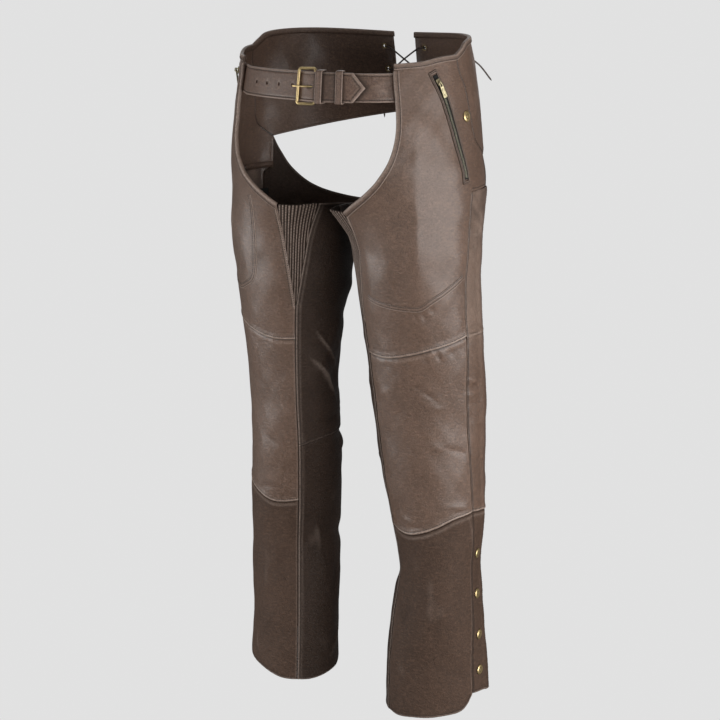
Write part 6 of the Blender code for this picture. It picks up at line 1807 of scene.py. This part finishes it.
class CHAPS_OT_lacing(bpy.types.Operator):
    """Set the eyelets and run the lace through them."""
    bl_idname = "chaps.lacing"
    bl_label = "Back lacing"

    def execute(self, context):
        sides = settings("metal").turned
        for side in SIDES:
            for n, height in enumerate(EYELET_HEIGHTS):
                matrix = frame_at(EYELET_ANGLE, height, side)
                made = add("%seyelet_%d_ring" % (word(side), n + 1),
                           turned(EYELET_PROFILE, matrix, sides), "brass")
                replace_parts(made, "%seyelet_%d" % (word(side), n + 1))
        centres = lace_path(lace_knots(), 4.0 * MM)
        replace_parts(add("back_lace_cord", tube(centres, LACE_DIAMETER / 2, 12), "lace"), "back_lace")
        return {"FINISHED"}


# ---- the sewing
# Rows of stitches: piece, path, distance to the path's left in millimetres.
STITCH_ROWS = (("thigh_panel", "thigh_low", 4.3), ("thigh_panel", "gusset_front", -1.9),
               ("thigh_panel", "gusset_front", -5.4), ("thigh_panel", "strip_top", 4.3),
               ("thigh_panel", "lobe_rear", 4), ("knee_panel", "shin_top", 4.3),
               ("shin_panel", "hem_front", 4), ("side_strip", "strip_front_upper", -2.2),
               ("side_strip", "strip_rear_upper", 2.2), ("side_strip", "strip_seam", 4.3),
               ("snap_flap", "strip_front_lower", -2.2), ("snap_flap", "strip_rear_lower", 2.2),
               ("snap_flap", "hem_strip", 4), ("back_upper_panel", "seat", -4),
               ("back_upper_panel", "knee_back", 4.3), ("back_upper_panel", "inseam_back_upper", 4.6),
               ("back_upper_panel", "gusset_back", 4.6), ("back_lower_panel", "inseam_back_lower", 4.6),
               ("back_lower_panel", "hem_back", 4), ("back_yoke", "hip_seam", -1.2),
               ("back_yoke", "yoke_low", 4), ("back_yoke", "lacing", 4))


# How far the stitches stand over the panels, the bindings, the pocket bags' seams and the welts.
ON_PANEL, ON_BINDING, ON_BAG_SEAM, ON_WELT = 0.12 * MM, 1.45 * MM, 0.40 * MM, 1.60 * MM
BAG_SEAM_MIDDLE = 2.15 * MM     # the pocket bag's seam lies this far beside its path


def sew(bm, points, normals):
    """Add a row of stitches along a line of points that lie on the leather."""
    own = settings("sewing")
    along = travelled(points)
    if along[-1] < 2 * own.pitch:
        return
    for middle in np.arange(own.pitch * 0.6, along[-1] - own.pitch * 0.4, own.pitch):
        here, ahead = read_off(points, along, np.array([middle, middle + 0.3 * MM]))
        out, run = read_off(normals, along, middle), unit(ahead - here)
        matrix = axes_matrix(here, run * own.length / 2, np.cross(out, run) * own.thread / 2,
                             out * own.thread * 0.42)
        bmesh.ops.create_icosphere(bm, subdivisions=1, radius=1.0, matrix=matrix)


def sew_over(bm, cells, lift, side):
    """Sew along (angle, height) cells, over leather that rises by lift."""
    sew(bm, place(cells, lift, side), outward(*cells.T, side) * mirror(side))


class CHAPS_OT_stitching(bpy.types.Operator):
    """Sew the panels, bindings, pockets and straps."""
    bl_idname = "chaps.stitching"
    bl_label = "Stitching"

    def execute(self, context):
        paths = seam_paths()
        split, knee = SEAM_SHIN[-1][1], SEAM_KNEE_BACK[-1][1]
        for name, above, below in (("strip_front", split + 0.004, split - 0.010),
                                   ("strip_rear", split + 0.004, split - 0.010),
                                   ("inseam_back", knee, knee)):
            heights = paths[name][:, 1]
            paths[name + "_upper"] = paths[name][heights > above]
            paths[name + "_lower"] = paths[name][heights < below]
        for side in SIDES:
            bm = bmesh.new()
            for piece, name, distance in STITCH_ROWS:
                count = max(int(measured(paths[name]) / MM), 8)
                cells = moved_aside(at(paths[name], np.linspace(0.004, 0.996, count)), distance * MM)
                lift = relief(cells, piece)[0] * MM + ON_PANEL
                if piece in ("side_strip", "snap_flap"):
                    lift = lift + strip_lift(cells[:, 0])
                sew_over(bm, cells, lift, side)
            add(word(side) + "panel_stitches", bm, "thread")
            bm = bmesh.new()
            for path in (at(curve(CUTOUT_EDGE, 400), np.linspace(0.01, 0.955, 330)),
                         at(joined(curve(WAIST_FRONT, 200), curve(WAIST_BACK, 220)),
                            np.linspace(0.005, 0.995, 400))):
                sew_over(bm, moved_aside(path, -4.9 * MM), ON_BINDING, side)
            for turn in (1, -1):
                path = moved_aside(curve(POCKET_BAG[side], 260), BAG_SEAM_MIDDLE + turn * 2.2 * MM)
                sew_over(bm, path, ON_BAG_SEAM * pocket_depth(side, len(path)), side)
                cells = on_zip(np.linspace(0.0, 1.0, 160), turn * (ZIP_SLOT + ZIP_WIDTH) / 4)
                sew_over(bm, cells, ON_WELT, side)
            add(word(side) + "edge_stitches", bm, "thread")
        self.belt(context)
        return {"FINISHED"}

    def belt(self, context):
        bm = bmesh.new()
        right, left = fine_path(RIGHT_STRAP_PATH, 1.0 * MM), fine_path(LEFT_STRAP_PATH, 1.0 * MM)
        half = BELT_WIDTH / 2
        slope = math.hypot(half, STRAP_TIP - STRAP_SHOULDER) / half
        for turn in (1, -1):
            inset = 3.6 * MM
            for path, level, first, last in (
                    (right, half - inset, -0.150, -0.004), (right, half - inset, 0.0440, 0.0620),
                    (right, half - inset, 0.0740, STRAP_SHOULDER - 0.002),
                    (left, LEFT_STRAP_WIDTH / 2 - inset, 0.098, 0.150)):
                s = np.arange(first, last, 1.0 * MM)
                self.row(bm, s, np.full(len(s), turn * level), path)
            share = np.linspace(0.06, 0.97, 24)
            inset = TIP_BORDER * MM
            tip = STRAP_TIP - inset * slope
            s = STRAP_SHOULDER - 0.001 + (tip - STRAP_SHOULDER + 0.001) * share
            self.row(bm, s, turn * (half - inset) * (1.0 - share), right)
        add("belt_stitches", bm, "thread")

    def row(self, bm, s, z, path):
        order = np.argsort(path[:, 0])
        lift = np.interp(s, path[order, 0], path[order, 1]) + STRAP / 2 - 0.35 * MM
        points = belt_point(s, z, lift)
        sew(bm, points, (belt_point(s, z, lift + MM) - points) / MM)


# ---- the studio
FLOOR_RADIUS, FLOOR_BEND, WALL_HEIGHT = 4.6, 1.4, 6.5
CAMERA_DISTANCE, CAMERA_RISE, CAMERA_AIM = 2.4, 0.66, (0.008, 0.0, -0.440)
CAMERA_LENS = 78.85             # millimetres
# Each softbox: name, azimuth, distance, height, aim, width, length and the setting of its power.
SOFTBOXES = (
    ("key_softbox", 77.0, 2.6, -0.50, -0.50, 3.4, 1.45, "key"),
    ("fill_softbox", -46.0, 2.6, -0.60, -0.60, 2.1, 1.6, "fill"),
    ("rear_softbox", 214.0, 2.8, 0.80, -0.30, 2.4, 2.4, "rear"),
    ("top_softbox", 34.0, 0.7, 2.60, -0.30, 3.0, 2.2, "top"))


class CHAPS_OT_stage(bpy.types.Operator):
    """Set the floor, the lights and the camera."""
    bl_idname = "chaps.stage"
    bl_label = "Studio"

    def execute(self, context):
        own = settings("studio")
        bm = bmesh.new()
        profile = [(0.0, 0.0), (FLOOR_RADIUS, 0.0)]
        profile += [(FLOOR_RADIUS + FLOOR_BEND * math.sin(t), FLOOR_BEND * (1 - math.cos(t)))
                    for t in np.linspace(0.1, math.pi / 2, 10)]
        profile.append((FLOOR_RADIUS + FLOOR_BEND, WALL_HEIGHT))
        verts = [bm.verts.new((x, 0.0, own.floor + z)) for x, z in profile]
        edges = [bm.edges.new(pair) for pair in zip(verts, verts[1:])]
        bmesh.ops.spin(bm, geom=verts + edges, cent=(0, 0, 0), axis=(0, 0, 1), steps=96,
                       angle=2 * math.pi, use_merge=True)
        bmesh.ops.remove_doubles(bm, verts=bm.verts[:], dist=1e-5)
        bmesh.ops.recalc_face_normals(bm, faces=bm.faces[:])
        if sum(f.normal.z for f in bm.faces) < 0:
            bmesh.ops.reverse_faces(bm, faces=bm.faces[:])
        mesh = bpy.data.meshes.new("studio_floor")
        bm.to_mesh(mesh)
        bm.free()
        mesh.shade_smooth()
        mesh.materials.append(bpy.data.materials["studio_paper_look"])
        floor = bpy.data.objects.new("studio_floor", mesh)
        # The paper is lit from behind and lies outside the lights, so it shows in no reflection.
        floor.visible_diffuse = floor.visible_glossy = floor.visible_shadow = False
        context.scene.collection.objects.link(floor)

        for *shape, power in SOFTBOXES:
            self.softbox(context, *shape, getattr(own, power))

        world = bpy.data.worlds.new("studio_air")
        world.use_nodes = True
        world.node_tree.nodes["Background"].inputs["Color"].default_value = (1.0, 1.0, 1.0, 1.0)
        world.node_tree.nodes["Background"].inputs["Strength"].default_value = own.air
        context.scene.world = world
        context.scene.view_settings.view_transform = "Standard"

        lens = bpy.data.cameras.new("camera")
        lens.lens = CAMERA_LENS
        lens.clip_start, lens.clip_end = 0.1, 40.0
        camera = bpy.data.objects.new("camera", lens)
        context.scene.collection.objects.link(camera)
        aim = Vector(CAMERA_AIM)
        away = Vector((math.sin(own.azimuth), -math.cos(own.azimuth), 0.0)) * CAMERA_DISTANCE
        camera.location = aim + away + Vector((0.0, 0.0, CAMERA_RISE))
        camera.rotation_euler = (aim - camera.location).to_track_quat("-Z", "Y").to_euler()
        context.scene.camera = camera
        return {"FINISHED"}

    def softbox(self, context, name, azimuth, distance, height, aim, width, length, power):
        """A rectangular light that faces the aim height between the legs."""
        light = bpy.data.lights.new(name, "AREA")
        light.shape, light.size, light.size_y, light.energy = "RECTANGLE", width, length, power
        made = bpy.data.objects.new(name, light)
        turn = math.radians(azimuth)
        made.location = (distance * math.sin(turn), -distance * math.cos(turn), height)
        made.rotation_euler = (Vector((0.0, 0.0, aim)) - made.location).to_track_quat("-Z", "Y").to_euler()
        made.visible_camera = False
        context.scene.collection.objects.link(made)


STEPS = (CHAPS_OT_looks, CHAPS_OT_front_panels, CHAPS_OT_back_panels, CHAPS_OT_yokes,
         CHAPS_OT_gussets, CHAPS_OT_side_strips, CHAPS_OT_seams, CHAPS_OT_bindings, CHAPS_OT_pockets,
         CHAPS_OT_snaps, CHAPS_OT_belt, CHAPS_OT_buckle, CHAPS_OT_lacing, CHAPS_OT_stitching,
         CHAPS_OT_stage)


class CHAPS_PT_panel(bpy.types.Panel):
    """Shows a button for each step that builds the chaps."""
    bl_label = "Leather Riding Chaps"
    bl_idname = "CHAPS_PT_panel"
    bl_space_type = "VIEW_3D"
    bl_region_type = "UI"
    bl_category = "Chaps"

    def draw(self, context):
        for step in STEPS:
            self.layout.operator(step.bl_idname)


GROUPS = (("leather", ChapsLeather), ("sewing", ChapsSewing), ("metal", ChapsMetal),
          ("studio", ChapsStudio))


def register():
    for name, group in GROUPS:
        bpy.utils.register_class(group)
        setattr(bpy.types.Scene, "chaps_" + name, PointerProperty(type=group))
    for made in STEPS + (CHAPS_PT_panel,):
        bpy.utils.register_class(made)


def unregister():
    for made in (CHAPS_PT_panel,) + STEPS[::-1]:
        bpy.utils.unregister_class(made)
    for name, group in GROUPS[::-1]:
        delattr(bpy.types.Scene, "chaps_" + name)
        bpy.utils.unregister_class(group)


def main():
    register()
    for step in STEPS:
        group, name = step.bl_idname.split(".")
        getattr(getattr(bpy.ops, group), name)()
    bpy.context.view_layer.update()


if __name__ == "__main__":
    main()
